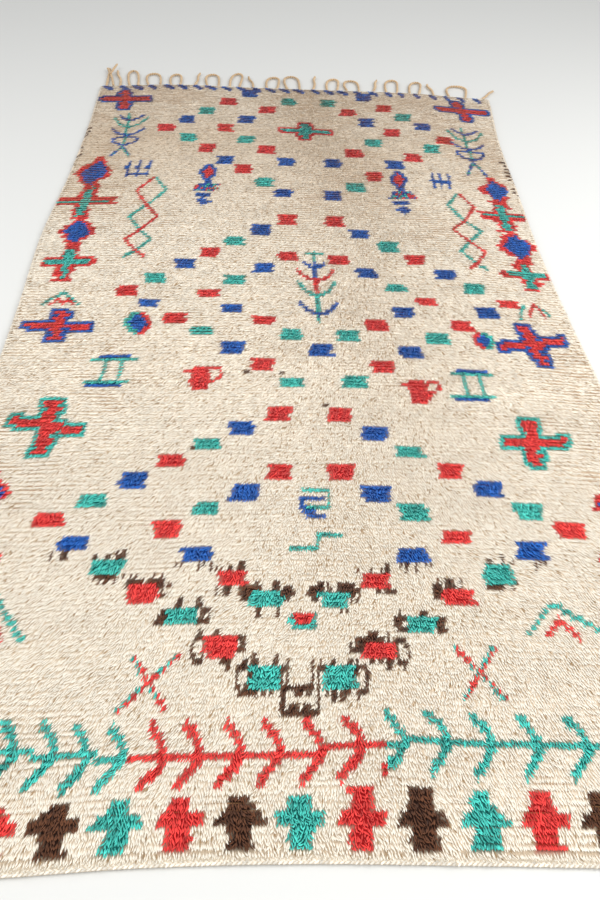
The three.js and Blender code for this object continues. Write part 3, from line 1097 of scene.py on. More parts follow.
@dataclass
class KnottedPile:
    """The wool pile: a dense bed of knots, and three loose yarn ends for each half knot, brushed outwards.

    first and last are the chart's millimetres, angles are degrees, and the fields that end in _at are
    shares of the way along the rug. places are the yarn ends' places in their half knot, stagger
    how far chance moves them along, in rows, and gathered how much of both is lost where rows part.
    brushed is how far the yarn ends lean to the nearer side. parting_line is where they part, read at
    equal steps along the rug, and parting_reach how soon they lean fully, both in metres across.
    parted_strips gives the seed, stretch across and step from row to row of the unevenness that picks
    where rows part.
    drifts gives the seed, angle and cell of each smooth unevenness of their lean. knot_lean is how far
    chance leans whole knots, end_lean half knots and own_lean single yarn ends, as spread() reads
    them. shorter is how much shorter they are where rows part, where they stand up, and dyed.
    parted_share is how common partings are: everywhere, and more in the far part, near the sides, at
    the hem and at the far end. shade is how much darker the cream ones get, less to the right.
    """

    plan: ClothPlan
    columns: int = 300
    rows: int = 233
    bare_columns: int = 1
    first: float = 4.0
    last: float = 2543.0
    places: tuple[Place, ...] = ((-0.29, -0.26), (0.0, 0.26), (0.29, 0.0))
    stagger: float = 0.11
    gathered: float = 0.85
    brushed_at: tuple[float, ...] = (0.0, 0.07, 0.25, 0.50)
    brushed: tuple[float, ...] = (6.0, 22.0, 33.0, 46.0)
    dyed_less: float = 0.35
    parting_line: tuple[float, ...] = (0.03, 0.16, 0.09, 0.18, 0.14, 0.20, 0.14, 0.08, 0.05)
    parting_reach: float = 0.18
    parted_share: tuple[float, ...] = (0.15, 0.17, 0.16, 0.30, 0.34)
    parted_strips: tuple[tuple[int, float, float], ...] = ((4, 0.20, 0.0187), (9, 0.62, 0.0231))
    drifts: tuple[tuple[int, float, float], ...] = ((1, 12.0, 0.12), (2, 8.0, 0.035), (3, 5.0, 0.013))
    knot_lean: float = 4.0
    end_lean: tuple[float, float, float] = (4.5, 9.0, 8.0)
    own_lean: tuple[float, float, float] = (2.5, 3.0, 7.0)
    end_length: float = 0.0128
    length_chance: tuple[float, float] = (0.10, 0.05)
    shorter: tuple[float, float, float] = (0.22, 0.12, 0.10)
    end_width: float = 0.0025
    girth_chance: float = 0.14
    shift_chance: float = 0.0005
    rooted: float = 0.48
    widest: float = 0.58
    # Sunk cream yarn ends lie lower and are painted dark, as the shade between the others.
    sunk_at: tuple[float, ...] = (0.2, 0.45, 0.8)
    sunk_share: tuple[float, ...] = (0.04, 0.13, 0.09)
    sunk_drop: float = 0.0010
    sunk_shade: float = 0.5
    upright_rise: float = 0.0006
    height_chance: tuple[float, float, float] = (0.0005, 0.0003, 0.0003)
    tone_patches: tuple[tuple[int, float, float, float], ...] = ((6, 0.12, 1.0, 0.03), (7, 0.10, 0.08, 0.02))
    calm_from: float = 0.40
    calm_over: float = 0.12
    calm_dark: float = 0.12
    calm_hem: float = 0.05
    shade_at: tuple[float, ...] = (0.62, 0.84, 0.92)
    shade: tuple[float, ...] = (0.0, 0.80, 0.45)
    side_drop: float = 0.0009
    tip_drop: float = 0.0009
    # Shares of lit colour at each yarn end's root and at its two low side corners: painted shade, with the
    # tip fully lit.
    root_light: float = 0.4
    dyed_side_light: float = 0.38
    cream_side_light: float = 0.60
    bed_light: tuple[float, ...] = (0.30, 0.05, 0.05, 0.05, 0.05)
    hem_rows: tuple[float, ...] = (0.0, 4.0, 8.0)
    floor_gap: float = 0.0002
    crease: float = 90.0
    bands: int = 5

    def chart(self) -> DesignChart:
        """The painted chart of knots."""
        chart = DesignChart(self.columns, self.rows, self.first, self.last)
        RugDesign(chart).paint()
        return chart

    def parting(self, s: np.ndarray, row: np.ndarray, x: np.ndarray) -> np.ndarray:
        """How far apart two rows of knots lie, from 0 where the pile closes over them to 1.

        Stretches along each row are picked by unevenness that is long across the rug and
        independent from row to row. They are commonest at both ends and near the sides.

        Args:
            s: shares of the way across.
            row: the row of knots, with its fraction.
            x: places across, in the frame.

        Returns:
            The partings.
        """
        along = row / self.rows
        far = np.clip((along - 0.36) / 0.35, 0.0, 1.0)
        outer = np.clip((np.abs(s - 0.5) - 0.16) / 0.20, 0.0, 1.0)
        hem = np.clip(1.0 - along / 0.10, 0.0, 1.0)
        end = np.clip((along - 0.88) / 0.10, 0.0, 1.0)
        plain, more_far, more_outer, more_hem, more_end = self.parted_share
        common = plain + more_far * far + more_outer * outer * np.clip(along / 0.25, 0.2, 1.0)
        common = common + more_hem * hem + more_end * end
        whole = np.round(row)
        broad = 0.24 * uneven(5, x, row * 0.011, 0.20)
        fine = sum(0.5 * uneven(seed, x * stretch, whole * step, 0.011)
                   for seed, stretch, step in self.parted_strips)
        return np.clip((fine + 2.0 * (common + broad) - 0.75) / 0.8, 0.0, 1.0)

    @staticmethod
    def spread(shares: tuple[float, float, float], upright: np.ndarray, dyed: np.ndarray) -> np.ndarray:
        """How much chance counts: a plain share, one more where yarn ends stand up, and one more if dyed."""
        return shares[0] + shares[1] * upright + shares[2] * dyed

    def strands(self, chart: DesignChart) -> dict[str, np.ndarray]:
        """Where each yarn end stands and how it lies.

        Its lean is the brushed lean times the hyperbolic tangent of its distance from the parting
        line over the reach, plus smooth unevenness and chance. At the parting line the yarn ends
        stand up, shorter and less alike. Each is rooted so that its middle lies at its knot's place
        on the chart. Some of the cream ones lie sunk, lower and painted dark as the shade between the
        others. In the near third the cream ones are more alike and, but at the hem, a little darker.
        Towards the far end they get a painted shade, most on the left.

        Args:
            chart: the painted chart.

        Returns:
            Arrays with one entry for each yarn end: its root x and y, its lean as an angle from
            the near direction, its length, its root and tip heights, its girth, its tone, its row,
            its yarn, and a share of light that is none where it is sunk and low where it is shaded.
        """
        chance = np.random.default_rng(23)
        each = len(self.places)
        inner = np.arange(self.bare_columns, self.columns - self.bare_columns)
        j, i = np.meshgrid(np.arange(self.rows), inner, indexing="ij")
        j, i = np.repeat(j.ravel(), each), np.repeat(i.ravel(), each)
        across, along = (np.tile(part, len(j) // each) for part in np.array(self.places).T)
        count = len(j)
        s = (i + 0.5 + across) / self.columns
        parted = self.parting(s, j.astype(float), (s - 0.5) * self.plan.width)
        along = (along + chance.normal(0.0, self.stagger, count)) * (1.0 - self.gathered * parted)
        t = (self.first + (j + 0.5 + along) * chart.row) / 1000.0 / self.plan.length
        x, y = self.plan.place(s, np.clip(t, 0.0, 1.0))
        middle = catmull_rom(self.parting_line, t)
        outward = np.tanh(((s - 0.5) * self.plan.width - middle) / self.parting_reach)
        brushed = np.interp(t, self.brushed_at, self.brushed)
        drift = sum(angle * uneven(seed, x, y, cell) for seed, angle, cell in self.drifts)
        upright = 1.0 - outward * outward
        knot = chance.normal(0.0, 1.0, (3, self.rows, self.columns // 2))[:, j, i // 2]
        yarn = chart.yarn[j, i]
        dyed = (yarn != int(Yarn.CREAM)).astype(float)
        end = chance.normal(0.0, 1.0, (4, self.rows, self.columns))[:, j, i]
        alike = self.knot_lean * knot[0] + end[0] * self.spread(self.end_lean, upright, dyed)
        alike = alike + chance.normal(0.0, 1.0, count) * self.spread(self.own_lean, upright, dyed)
        outward = outward * (1.0 - self.dyed_less * dyed)
        lean = np.radians(brushed * outward + drift + alike)
        half_knot, own = self.length_chance
        length = self.end_length * (1.0 + half_knot * end[1] + own * chance.normal(0.0, 1.0, count))
        for share, where in zip(self.shorter, (parted, upright, dyed)):
            length = length * (1.0 - share * where)
        x = x + chance.normal(0.0, self.shift_chance, count) - self.rooted * length * np.sin(lean)
        y = y + self.rooted * length * np.cos(lean)
        sunk = chance.random(count) < np.interp(t, self.sunk_at, self.sunk_share) * (1.0 - dyed)
        half_knot, whole_knot, own = self.height_chance
        height = self.plan.top(x, y) - self.sunk_drop * sunk + half_knot * end[2] + whole_knot * knot[1]
        height = height + self.upright_rise * upright + chance.normal(0.0, own, count)
        vary = end[3] * (0.16 + 0.10 * dyed) + chance.normal(0.0, 0.08, count) + 0.08 * knot[2]
        for seed, strength, stretch, cell in self.tone_patches:
            vary = vary + strength * uneven(seed, x * stretch, y, cell)
        calm = (1.0 - dyed) * np.clip((self.calm_from - t) / self.calm_over, 0.0, 1.0)
        tone = 0.5 + vary * (0.55 + 0.45 * dyed) * (1.0 - 0.6 * calm)
        # Painted shade: sunk yarn ends are darker still.
        tone = tone - self.calm_dark * calm * np.clip(t / self.calm_hem, 0.0, 1.0) - self.sunk_shade * sunk
        # Painted shade of the far end, darkest on the left.
        shade = (0.66 - 0.34 * s) * np.interp(t, self.shade_at, self.shade)
        return {"x": x, "y": y, "lean": lean, "length": length, "root": self.plan.bed(s, t, x, y),
                "tip": height - self.tip_drop,
                "girth": 1.0 + self.girth_chance * chance.normal(0.0, 1.0, count),
                "tone": np.clip(tone, 0.0, 1.0), "row": j, "yarn": yarn,
                "light": (1.0 - sunk) * (1.0 - (1.0 - dyed) * shade)}

    def yarn_ends(self, strand: dict[str, np.ndarray]) -> tuple[np.ndarray, np.ndarray, np.ndarray]:
        """Closed meshes of yarn ends: each a slender kite with a ridge.

        The ridge runs from the root to the tip, the length further out. The two side corners lie the
        widest share of the way along it, half the width to its left and right, and lower than it.

        Args:
            strand: the arrays of strands().

        Returns:
            Points, faces and each point's share of lit colour, which sets its painted shade.
        """
        count = len(strand["x"])
        flat = np.zeros(count)
        out = np.stack([np.sin(strand["lean"]), -np.cos(strand["lean"]), flat], 1)
        side = np.stack([np.cos(strand["lean"]), np.sin(strand["lean"]), flat], 1)
        side *= (self.end_width / 2 * strand["girth"])[:, None]
        root = np.stack([strand["x"], strand["y"], strand["root"]], 1)
        tip = np.stack([strand["x"], strand["y"], strand["tip"]], 1) + out * strand["length"][:, None]
        low = root + (tip - root) * self.widest - np.array([0.0, 0.0, self.side_drop])
        points = np.stack([root, tip, low - side, low + side], 1).reshape(-1, 3)
        faces = np.array([(0, 2, 1), (0, 1, 3), (0, 3, 2), (1, 2, 3)])
        dyed = strand["yarn"] != int(Yarn.CREAM)
        # Painted shade: the root and the low side corners take more of the root colour than the lit tip.
        sides = np.where(dyed, self.dyed_side_light, self.cream_side_light)
        depth = np.stack([np.full(count, self.root_light), np.ones(count), sides, sides], 1)
        # Painted shade: sunk yarn ends take the root colour, and the far cream ones lean towards it.
        depth *= strand["light"][:, None]
        return points, repeated(faces, 4, count), depth.ravel()

    def build_ends(self, chart: DesignChart) -> list[bpy.types.Object]:
        """Builds the yarn ends: one piece for each dyed yarn, and the cream in bands along the rug.

        Args:
            chart: the painted chart.

        Returns:
            The pieces.
        """
        strand = self.strands(chart)
        band = np.minimum(strand["row"] * self.bands // self.rows, self.bands - 1)
        pieces = []
        for yarn in Yarn:
            groups = range(self.bands) if yarn is Yarn.CREAM else (None,)
            material = FINISHES[yarn].material()
            for group in groups:
                chosen = strand["yarn"] == int(yarn)
                if group is not None:
                    chosen &= band == group
                part = {key: values[chosen] for key, values in strand.items()}
                points, faces, depth = self.yarn_ends(part)
                name = f"{yarn.name.lower()}_pile" + ("" if group is None else f"_{group + 1}")
                piece = mesh_piece(name, points, faces, self.crease, depth=depth,
                                   tone=np.repeat(part["tone"], 4))
                piece.data.materials.append(material)
                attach(piece, "root")
                LOG.info("%s: %d yarn ends, %d faces", name, len(part["x"]), len(faces))
                pieces.append(piece)
        return pieces

    def build_bed(self, chart: DesignChart) -> bpy.types.Object:
        """Builds the bed: the woven ground with its dense knots, one closed body down to the floor.

        Its top is a grid with a point in the middle of each knot, coloured with its yarn in painted
        shade, and a few more rows of points over the hem. Walls go down from its rim to one flat underside.

        Args:
            chart: the painted chart.

        Returns:
            The piece.
        """
        rows = self.first + (np.arange(self.rows) + 0.5) * chart.row
        along = np.concatenate([self.hem_rows, rows, [DesignChart.LONG]]) / 1000.0
        knots = self.columns // 2
        across = np.concatenate([[0.0], (np.arange(knots) + 0.5) / knots, [1.0]])
        s, t = np.meshgrid(across, along / self.plan.length)
        x, y = self.plan.place(s.ravel(), t.ravel())
        top = np.stack([x, y, self.plan.bed(s.ravel(), t.ravel(), x, y)], 1)
        number = np.arange(s.size).reshape(s.shape)
        quads = np.stack([number[:-1, :-1], number[:-1, 1:], number[1:, 1:], number[1:, :-1]], -1)
        quads = quads.reshape(-1, 4)
        rim = np.concatenate([number[0, :-1], number[:-1, -1], number[-1, :0:-1], number[:0:-1, 0]])
        floor = top[rim] * np.array([1.0, 1.0, 0.0]) + np.array([0.0, 0.0, self.floor_gap])
        under = s.size + np.arange(len(rim))
        wall = np.stack([under, np.roll(under, -1), np.roll(rim, -1), rim], 1)
        # Painted shade: the bed shows between the yarn ends, so each yarn there is its root colour, lit by a
        # bed_light share of its tip.
        shaded_dyes = np.array([[*FINISHES[yarn].root[:3]] for yarn in Yarn])
        tips = np.array([[*FINISHES[yarn].tip[:3]] for yarn in Yarn])
        shaded_dyes += np.array(self.bed_light)[:, None] * (tips - shaded_dyes)
        shaded_dye = shaded_dyes[chart.yarn].reshape(self.rows, knots, 2, 3).mean(axis=2)
        shaded_dye = np.pad(shaded_dye, ((0, 0), (1, 1), (0, 0)), mode="edge")
        plain = np.broadcast_to(np.array(GROUND_FINISH.thread[:3]), (1, *shaded_dye.shape[1:]))
        shaded_dye = np.concatenate([plain, plain, plain, shaded_dye, plain]).reshape(-1, 3)
        row = (t * self.plan.length * 1000.0 - self.first) / chart.row
        parted = self.parting(s, row, (s - 0.5) * self.plan.width) * (t > 0.008)
        row, parted = (np.concatenate([v.ravel(), v.ravel()[rim]]) for v in (row, parted))
        shaded_dye = np.concatenate([shaded_dye, shaded_dye[rim]])
        piece = mesh_piece("knotted_bed", np.concatenate([top, floor]), np.concatenate([quads, wall]),
                           base=under[::-1], dye_red=shaded_dye[:, 0], dye_green=shaded_dye[:, 1], dye_blue=shaded_dye[:, 2],
                           row=row, parted=parted)
        piece.data.materials.append(GROUND_FINISH.material())
        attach(piece, "root")
        LOG.info("knotted_bed: %d faces", len(quads) + len(wall) + 1)
        return piece


@dataclass
class TwinedHem:
    """Two rows of slanting twined stitches that lock the near edge."""

    plan: ClothPlan
    pitch: float = 0.0068
    half_length: float = 0.0046
    half_width: float = 0.0019
    half_height: float = 0.0017
    rows: tuple[float, ...] = (0.0018, 0.0050)
    row_drop: float = 0.0004
    slant: float = 38.0
    slant_chance: float = 7.0
    size_chance: float = 0.08
    tone_chance: float = 0.22

    def bead(self) -> tuple[np.ndarray, np.ndarray]:
        """A small egg shape: three rings of six points between two end points.

        Returns:
            Points on a ball of radius one, its axis along x, and triangles.
        """
        angles = np.arange(6) * math.tau / 6
        points = [(-1.0, 0.0, 0.0)]
        for along in (-0.62, 0.0, 0.62):
            radius = math.sqrt(1 - along * along)
            points += [(along, radius * math.cos(a), radius * math.sin(a)) for a in angles]
        points.append((1.0, 0.0, 0.0))
        faces = []
        for k in range(6):
            n = (k + 1) % 6
            faces.append((0, 1 + n, 1 + k))
            for ring in (0, 1):
                a, b = 1 + ring * 6 + k, 1 + ring * 6 + n
                faces += [(a, b, b + 6), (a, b + 6, a + 6)]
            faces.append((19, 13 + k, 13 + n))
        return np.array(points), np.array(faces)

    def build(self) -> bpy.types.Object:
        """Builds the stitches, which slant one way in one row and the other way in the next."""
        ball, triangles = self.bead()
        chance = np.random.default_rng(31)
        clouds = []
        for index, inward in enumerate(self.rows):
            count = int(self.plan.width / self.pitch)
            s = (np.arange(count) + 0.5 + 0.5 * index) / count
            x, y = self.plan.place(s, np.zeros(count))
            slant = self.slant if index == 0 else -self.slant
            slant = np.radians(slant + chance.normal(0.0, self.slant_chance, count))
            size = 1.0 + chance.normal(0.0, self.size_chance, count)
            bead = ball[None] * np.array([self.half_length, self.half_width, self.half_height])
            bead = bead * size[:, None, None]
            turned_x = bead[..., 0] * np.cos(slant)[:, None] - bead[..., 1] * np.sin(slant)[:, None]
            turned_y = bead[..., 0] * np.sin(slant)[:, None] + bead[..., 1] * np.cos(slant)[:, None]
            lift = self.plan.ground_thick - self.row_drop * index
            y = y + inward
            cloud = np.stack([turned_x + x[:, None], turned_y + y[:, None], bead[..., 2] + lift], -1)
            clouds.append(cloud.reshape(-1, 3))
        points = np.concatenate(clouds)
        copies = len(points) // len(ball)
        tone = np.repeat(np.clip(0.5 + chance.normal(0.0, self.tone_chance, copies), 0, 1), len(ball))
        # Painted shade: each stitch is darker towards its underside.
        depth = np.tile(0.45 + 0.55 * (ball[:, 2] + 1) / 2, copies)
        faces = repeated(triangles, len(ball), copies)
        piece = mesh_piece("twined_hem", points, faces, tone=tone, depth=depth)
        piece.data.materials.append(HEM_FINISH.material())
        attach(piece, "root")
        LOG.info("twined_hem: %d stitches", copies)
        return piece


@dataclass
class Selvedge:
    """The overcast side edges: yarn wrapped over a bundle of warps, cream with a few brown stretches.

    span is where the wraps start and how far they run, in shares of the way along. In a brown stretch,
    brown_turns gives of how many wraps how many are brown.
    """

    plan: ClothPlan
    pitch: float = 0.0052
    span: tuple[float, float] = (0.004, 0.992)
    yarn_radius: float = 0.0019
    sides: int = 4
    wrap_lean: float = 1.2
    oval: float = 1.25
    size_chance: float = 0.07
    shift_chance: float = 0.0005
    floor_gap: float = 0.0003
    tone_chance: float = 0.13
    brown_turns: tuple[int, int] = (5, 3)
    profile: tuple[Place, ...] = (
        (0.0014, 0.0012), (0.0000, 0.0032), (0.0016, 0.0056), (0.0050, 0.0066), (0.0086, 0.0058))
    brown_left: tuple[Place, ...] = ((2.14, 2.22), (1.98, 2.05))
    brown_right: tuple[Place, ...] = ((1.93, 2.05), (2.14, 2.16), (1.86, 1.88))

    def wraps(self, side: int) -> tuple[np.ndarray, np.ndarray, np.ndarray]:
        """The wraps of one side edge.

        Each wrap is a thin tube through the profile's points, which run from under the edge up over
        it and inwards, and leans along the rug by about one yarn.

        Args:
            side: -1 for the left edge and 1 for the right one.

        Returns:
            For each wrap, its points, how far along it lies and how far each point is from the floor.
        """
        chance = np.random.default_rng(41 + side)
        count = int(self.plan.length / self.pitch)
        t = (np.arange(count) + 0.5) / count
        t = self.span[0] + t * self.span[1]
        x, y = self.plan.place(np.full(count, 0.0 if side < 0 else 1.0), t)
        path = np.array(self.profile)
        steps = len(path)
        tangent = np.gradient(path, axis=0)
        tangent /= np.linalg.norm(tangent, axis=1, keepdims=True)
        lean = np.linspace(-0.5, 0.5, steps) * self.pitch * self.wrap_lean
        angles = (np.arange(self.sides) + 0.5) * math.tau / self.sides
        size = 1.0 + chance.normal(0.0, self.size_chance, count)
        ring_in = path[:, 0][:, None] - tangent[:, 1][:, None] * np.cos(angles) * self.yarn_radius
        ring_up = path[:, 1][:, None] + tangent[:, 0][:, None] * np.cos(angles) * self.yarn_radius
        ring_along = lean[:, None] + np.sin(angles) * self.yarn_radius * self.oval
        inward = ring_in[None] * size[:, None, None] + np.zeros((count, 1, 1))
        shift = chance.normal(0.0, self.shift_chance, count)[:, None, None]
        points = np.stack([
            x[:, None, None] - side * inward,
            y[:, None, None] + ring_along[None] + shift,
            np.maximum(ring_up[None] * size[:, None, None], self.floor_gap),
        ], -1)
        return points, t * self.plan.length, np.broadcast_to(ring_up, points.shape[:-1])

    def faces(self, side: int) -> np.ndarray:
        """The triangles of one wrap.

        Args:
            side: -1 for the left edge and 1 for the right one.

        Returns:
            The triangles, turned outwards.
        """
        steps, sides = len(self.profile), self.sides
        triangles = []
        for k in range(steps - 1):
            for c in range(sides):
                a, b = k * sides + c, k * sides + (c + 1) % sides
                triangles += [(a, b, b + sides), (a, b + sides, a + sides)]
        last = (steps - 1) * sides
        for c in range(1, sides - 1):
            triangles += [(0, c + 1, c), (last, last + c, last + c + 1)]
        result = np.array(triangles)
        return result[:, ::-1] if side < 0 else result

    def build(self) -> list[bpy.types.Object]:
        """Builds the cream wraps and the brown wraps of both side edges."""
        gathered = {Yarn.CREAM: [], Yarn.BROWN: []}
        each = len(self.profile) * self.sides
        turns, brown_ones = self.brown_turns
        for side, stretches in ((-1, self.brown_left), (1, self.brown_right)):
            points, along, height = self.wraps(side)
            brown = np.zeros(len(along), bool)
            for start, end in stretches:
                brown |= (along > start) & (along < end)
            brown &= (np.arange(len(along)) % turns) < brown_ones
            for yarn, chosen in ((Yarn.BROWN, brown), (Yarn.CREAM, ~brown)):
                faces = repeated(self.faces(side), each, int(chosen.sum()))
                gathered[yarn].append((points[chosen].reshape(-1, 3), height[chosen].ravel(), faces))
        pieces = []
        chance = np.random.default_rng(47)
        for yarn, ((left, left_height, left_faces), (right, right_height, right_faces)) in gathered.items():
            points = np.concatenate([left, right])
            height = np.concatenate([left_height, right_height])
            faces = np.concatenate([left_faces, right_faces + len(left)])
            count = len(points) // each
            tone = np.repeat(np.clip(0.5 + chance.normal(0.0, self.tone_chance, count), 0, 1), each)
            # Painted shade: the wraps are darker the nearer they lie to the floor.
            depth = np.clip(0.10 + height / 0.016, 0.0, 1.0)
            name = f"{yarn.name.lower()}_selvedge"
            piece = mesh_piece(name, points, faces, tone=tone, depth=depth)
            piece.data.materials.append(FINISHES[yarn].material())
            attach(piece, "root")
            LOG.info("%s: %d wraps", name, count)
            pieces.append(piece)
        return pieces


@dataclass(frozen=True)
class CordGroup:
    """One group of warp cords: a loop, a single cord or three crossed ones.

    across is where it is rooted, spread the distance between its legs, reach how far it goes beyond
    the edge and lean how far its tip lies to the right, all in metres.
    """

    kind: str
    across: float
    spread: float
    reach: float
    lean: float


CORD_GROUPS = (
    CordGroup("crossed", -0.620, 0.024, 0.146, -0.016),
    CordGroup("single", -0.586, 0.0, 0.124, -0.026),
    CordGroup("loop", -0.540, 0.028, 0.122, -0.020),
    CordGroup("loop", -0.471, 0.038, 0.094, -0.016),
    CordGroup("loop", -0.400, 0.030, 0.088, -0.006),
    CordGroup("single", -0.338, 0.0, 0.104, 0.014),
    CordGroup("loop", -0.272, 0.036, 0.098, -0.010),
    CordGroup("loop", -0.200, 0.030, 0.112, 0.008),
    CordGroup("single", -0.136, 0.0, 0.092, -0.018),
    CordGroup("loop", -0.072, 0.034, 0.090, 0.004),
    CordGroup("loop", 0.002, 0.040, 0.104, -0.012),
    CordGroup("single", 0.066, 0.0, 0.110, 0.010),
    CordGroup("loop", 0.132, 0.032, 0.094, 0.006),
    CordGroup("loop", 0.204, 0.038, 0.086, -0.008),
    CordGroup("single", 0.268, 0.0, 0.098, 0.022),
    CordGroup("loop", 0.334, 0.034, 0.102, 0.006),
    CordGroup("loop", 0.410, 0.030, 0.092, 0.014),
    CordGroup("single", 0.474, 0.0, 0.084, -0.012),
    CordGroup("loop", 0.552, 0.052, 0.088, 0.010),
    CordGroup("single", 0.628, 0.0, 0.068, 0.056),
)


@dataclass
class FarFringe:
    """The warp ends beyond the far edge: two-ply cords lying on the floor, mostly as loops."""

    plan: ClothPlan
    strip_depth: float = 0.0083
    rooted: float = 0.010
    ply_radius: float = 0.0025
    ply_offset: float = 0.0020
    twist_pitch: float = 0.017
    step: float = 0.0026
    sides: int = 5
    girth_chance: float = 0.10
    lift: float = 0.0008
    lift_each: float = 0.0042

    def edge(self, across: float) -> float:
        """How far along the far edge lies, at a place across the cloth, before the frame's zero."""
        left, right = self.plan.left[-1], self.plan.right[-1]
        return float(catmull_rom(self.plan.far, np.array((across - left) / (right - left))))

    def routes(self, group: CordGroup) -> list[np.ndarray]:
        """The plane routes of one group's cords.

        Args:
            group: the group's sizes.

        Returns:
            For each cord, its guide points as x, y rows in the frame.
        """
        zero = self.plan.zero()
        half = group.spread / 2

        def at(side: float, turn: float) -> tuple[float, float]:
            """A guide point: sideways from the group's middle, and a share of its reach outwards."""
            root = self.edge(group.across + side) + self.strip_depth / 2 - (self.rooted if turn == 0 else 0)
            return (zero[0] + group.across + side + group.lean * turn, zero[1] + root + group.reach * turn)

        if group.kind == "loop":
            guides = [[at(-half, 0), at(-half * 1.3, 0.5), at(-half * 0.9, 0.88), at(half * 0.2, 1),
                       at(half * 1.1, 0.84), at(half * 1.2, 0.45), at(half, 0)]]
        elif group.kind == "crossed":
            guides = [[at(-half, 0), at(-half * 0.8, 0.5), at(-half * 0.5, 1)],
                      [at(half, 0), at(half * 0.2, 0.45), at(-half * 1.1, 0.96)],
                      [at(-half * 0.2, 0.55), at(half * 0.5, 0.8), at(half * 1.5, 1.12)]]
        else:
            guides = [[at(0, 0), at(0.004, 0.4), at(-0.002, 0.75), at(0, 1)]]
        return [np.array(g) for g in guides]

    def spaced(self, guide: np.ndarray) -> np.ndarray:
        """A smooth route through guide points: the curve of catmull_rom(), read a step apart.

        Args:
            guide: the guide points, as x, y rows.

        Returns:
            The route's points.
        """
        turn = np.linspace(0.0, 1.0, 400)
        fine = np.stack([catmull_rom(tuple(guide[:, k]), turn) for k in (0, 1)], 1)
        walked = np.concatenate([[0.0], np.cumsum(np.linalg.norm(np.diff(fine, axis=0), axis=1))])
        stations = np.linspace(0.0, walked[-1], max(int(walked[-1] / self.step), 4) + 1)
        return np.stack([np.interp(stations, walked, fine[:, k]) for k in (0, 1)], 1)

    def plies(self, guide: np.ndarray, lift: float, seed: int) -> list[tuple[np.ndarray, np.ndarray]]:
        """The two plies of one cord.

        A ply's middle goes round the cord's middle once for each twist pitch. Its rings of points
        stand square to the route, and its girth varies a little along it.

        Args:
            guide: the cord's guide points.
            lift: how much higher than the floor the cord lies.
            seed: which unevenness it gets.

        Returns:
            For each ply, its ring points and a share that is low between the plies, which paints shade
            there.
        """
        route = self.spaced(guide)
        count = len(route)
        tangent = np.gradient(route, axis=0)
        tangent /= np.linalg.norm(tangent, axis=1, keepdims=True)
        side = np.stack([tangent[:, 1], -tangent[:, 0], np.zeros(count)], 1)
        up = np.array([0.0, 0.0, 1.0])
        chance = np.random.default_rng(seed)
        walked = np.arange(count) * self.step
        start = chance.uniform(0.0, math.tau)
        marks = walked[::4]
        girth = np.interp(walked, marks, chance.normal(0, 1, len(marks)))
        radius = self.ply_radius * (1.0 + self.girth_chance * girth)
        centre = np.concatenate([route, np.full((count, 1), self.ply_radius + self.ply_offset + lift)], 1)
        angles = np.arange(self.sides) * math.tau / self.sides
        result = []
        for ply in (0.0, math.pi):
            turn = start + ply + walked * math.tau / self.twist_pitch
            middle = centre + self.ply_offset * (side * np.cos(turn)[:, None] + up * np.sin(turn)[:, None])
            spokes = side[:, None] * np.cos(angles)[None, :, None] + up * np.sin(angles)[None, :, None]
            ring = middle[:, None] + spokes * radius[:, None, None]
            away = np.linalg.norm(ring - centre[:, None], axis=2) / (self.ply_offset + self.ply_radius)
            result.append((ring.reshape(-1, 3), away.ravel()))
        return result

    def build(self) -> bpy.types.Object:
        """Builds all the cords as one piece."""
        points, lit_shares, tones, faces, start = [], [], [], [], 0
        chance = np.random.default_rng(53)
        for index, group in enumerate(CORD_GROUPS):
            for number, guide in enumerate(self.routes(group)):
                lift = self.lift + self.lift_each * number
                tone = 0.5 + chance.normal(0.0, 0.1)
                for ring, away in self.plies(guide, lift, 100 * index + number):
                    count = len(ring) // self.sides
                    points.append(ring)
                    lit_shares.append(away)
                    tones.append(np.full(len(ring), tone + chance.normal(0.0, 0.05)))
                    faces.append(self.tube_faces(count) + start)
                    start += len(ring)
        # Painted shade: the plies are darker where they meet, towards the cord's middle.
        piece = mesh_piece("warp_cords", np.concatenate(points), np.concatenate(faces),
                           depth=np.clip(np.concatenate(lit_shares) ** 2, 0, 1),
                           tone=np.clip(np.concatenate(tones), 0, 1))
        piece.data.materials.append(CORD_FINISH.material())
        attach(piece, "root")
        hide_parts("far_fringe")
        LOG.info("warp_cords: %d faces", sum(len(f) for f in faces))
        return piece

    def tube_faces(self, rings: int) -> np.ndarray:
        """The triangles of a closed tube.

        Args:
            rings: how many rings of points it has.

        Returns:
            The triangles.
        """
        sides = self.sides
        k, c = np.meshgrid(np.arange(rings - 1), np.arange(sides), indexing="ij")
        a = (k * sides + c).ravel()
        b = (k * sides + (c + 1) % sides).ravel()
        walls = np.concatenate([np.stack([a, b + sides, b], 1), np.stack([a, a + sides, b + sides], 1)])
        last = (rings - 1) * sides
        caps = [(0, c, c + 1) for c in range(1, sides - 1)]
        caps += [(last, last + c + 1, last + c) for c in range(1, sides - 1)]
        return np.concatenate([walls, np.array(caps)])


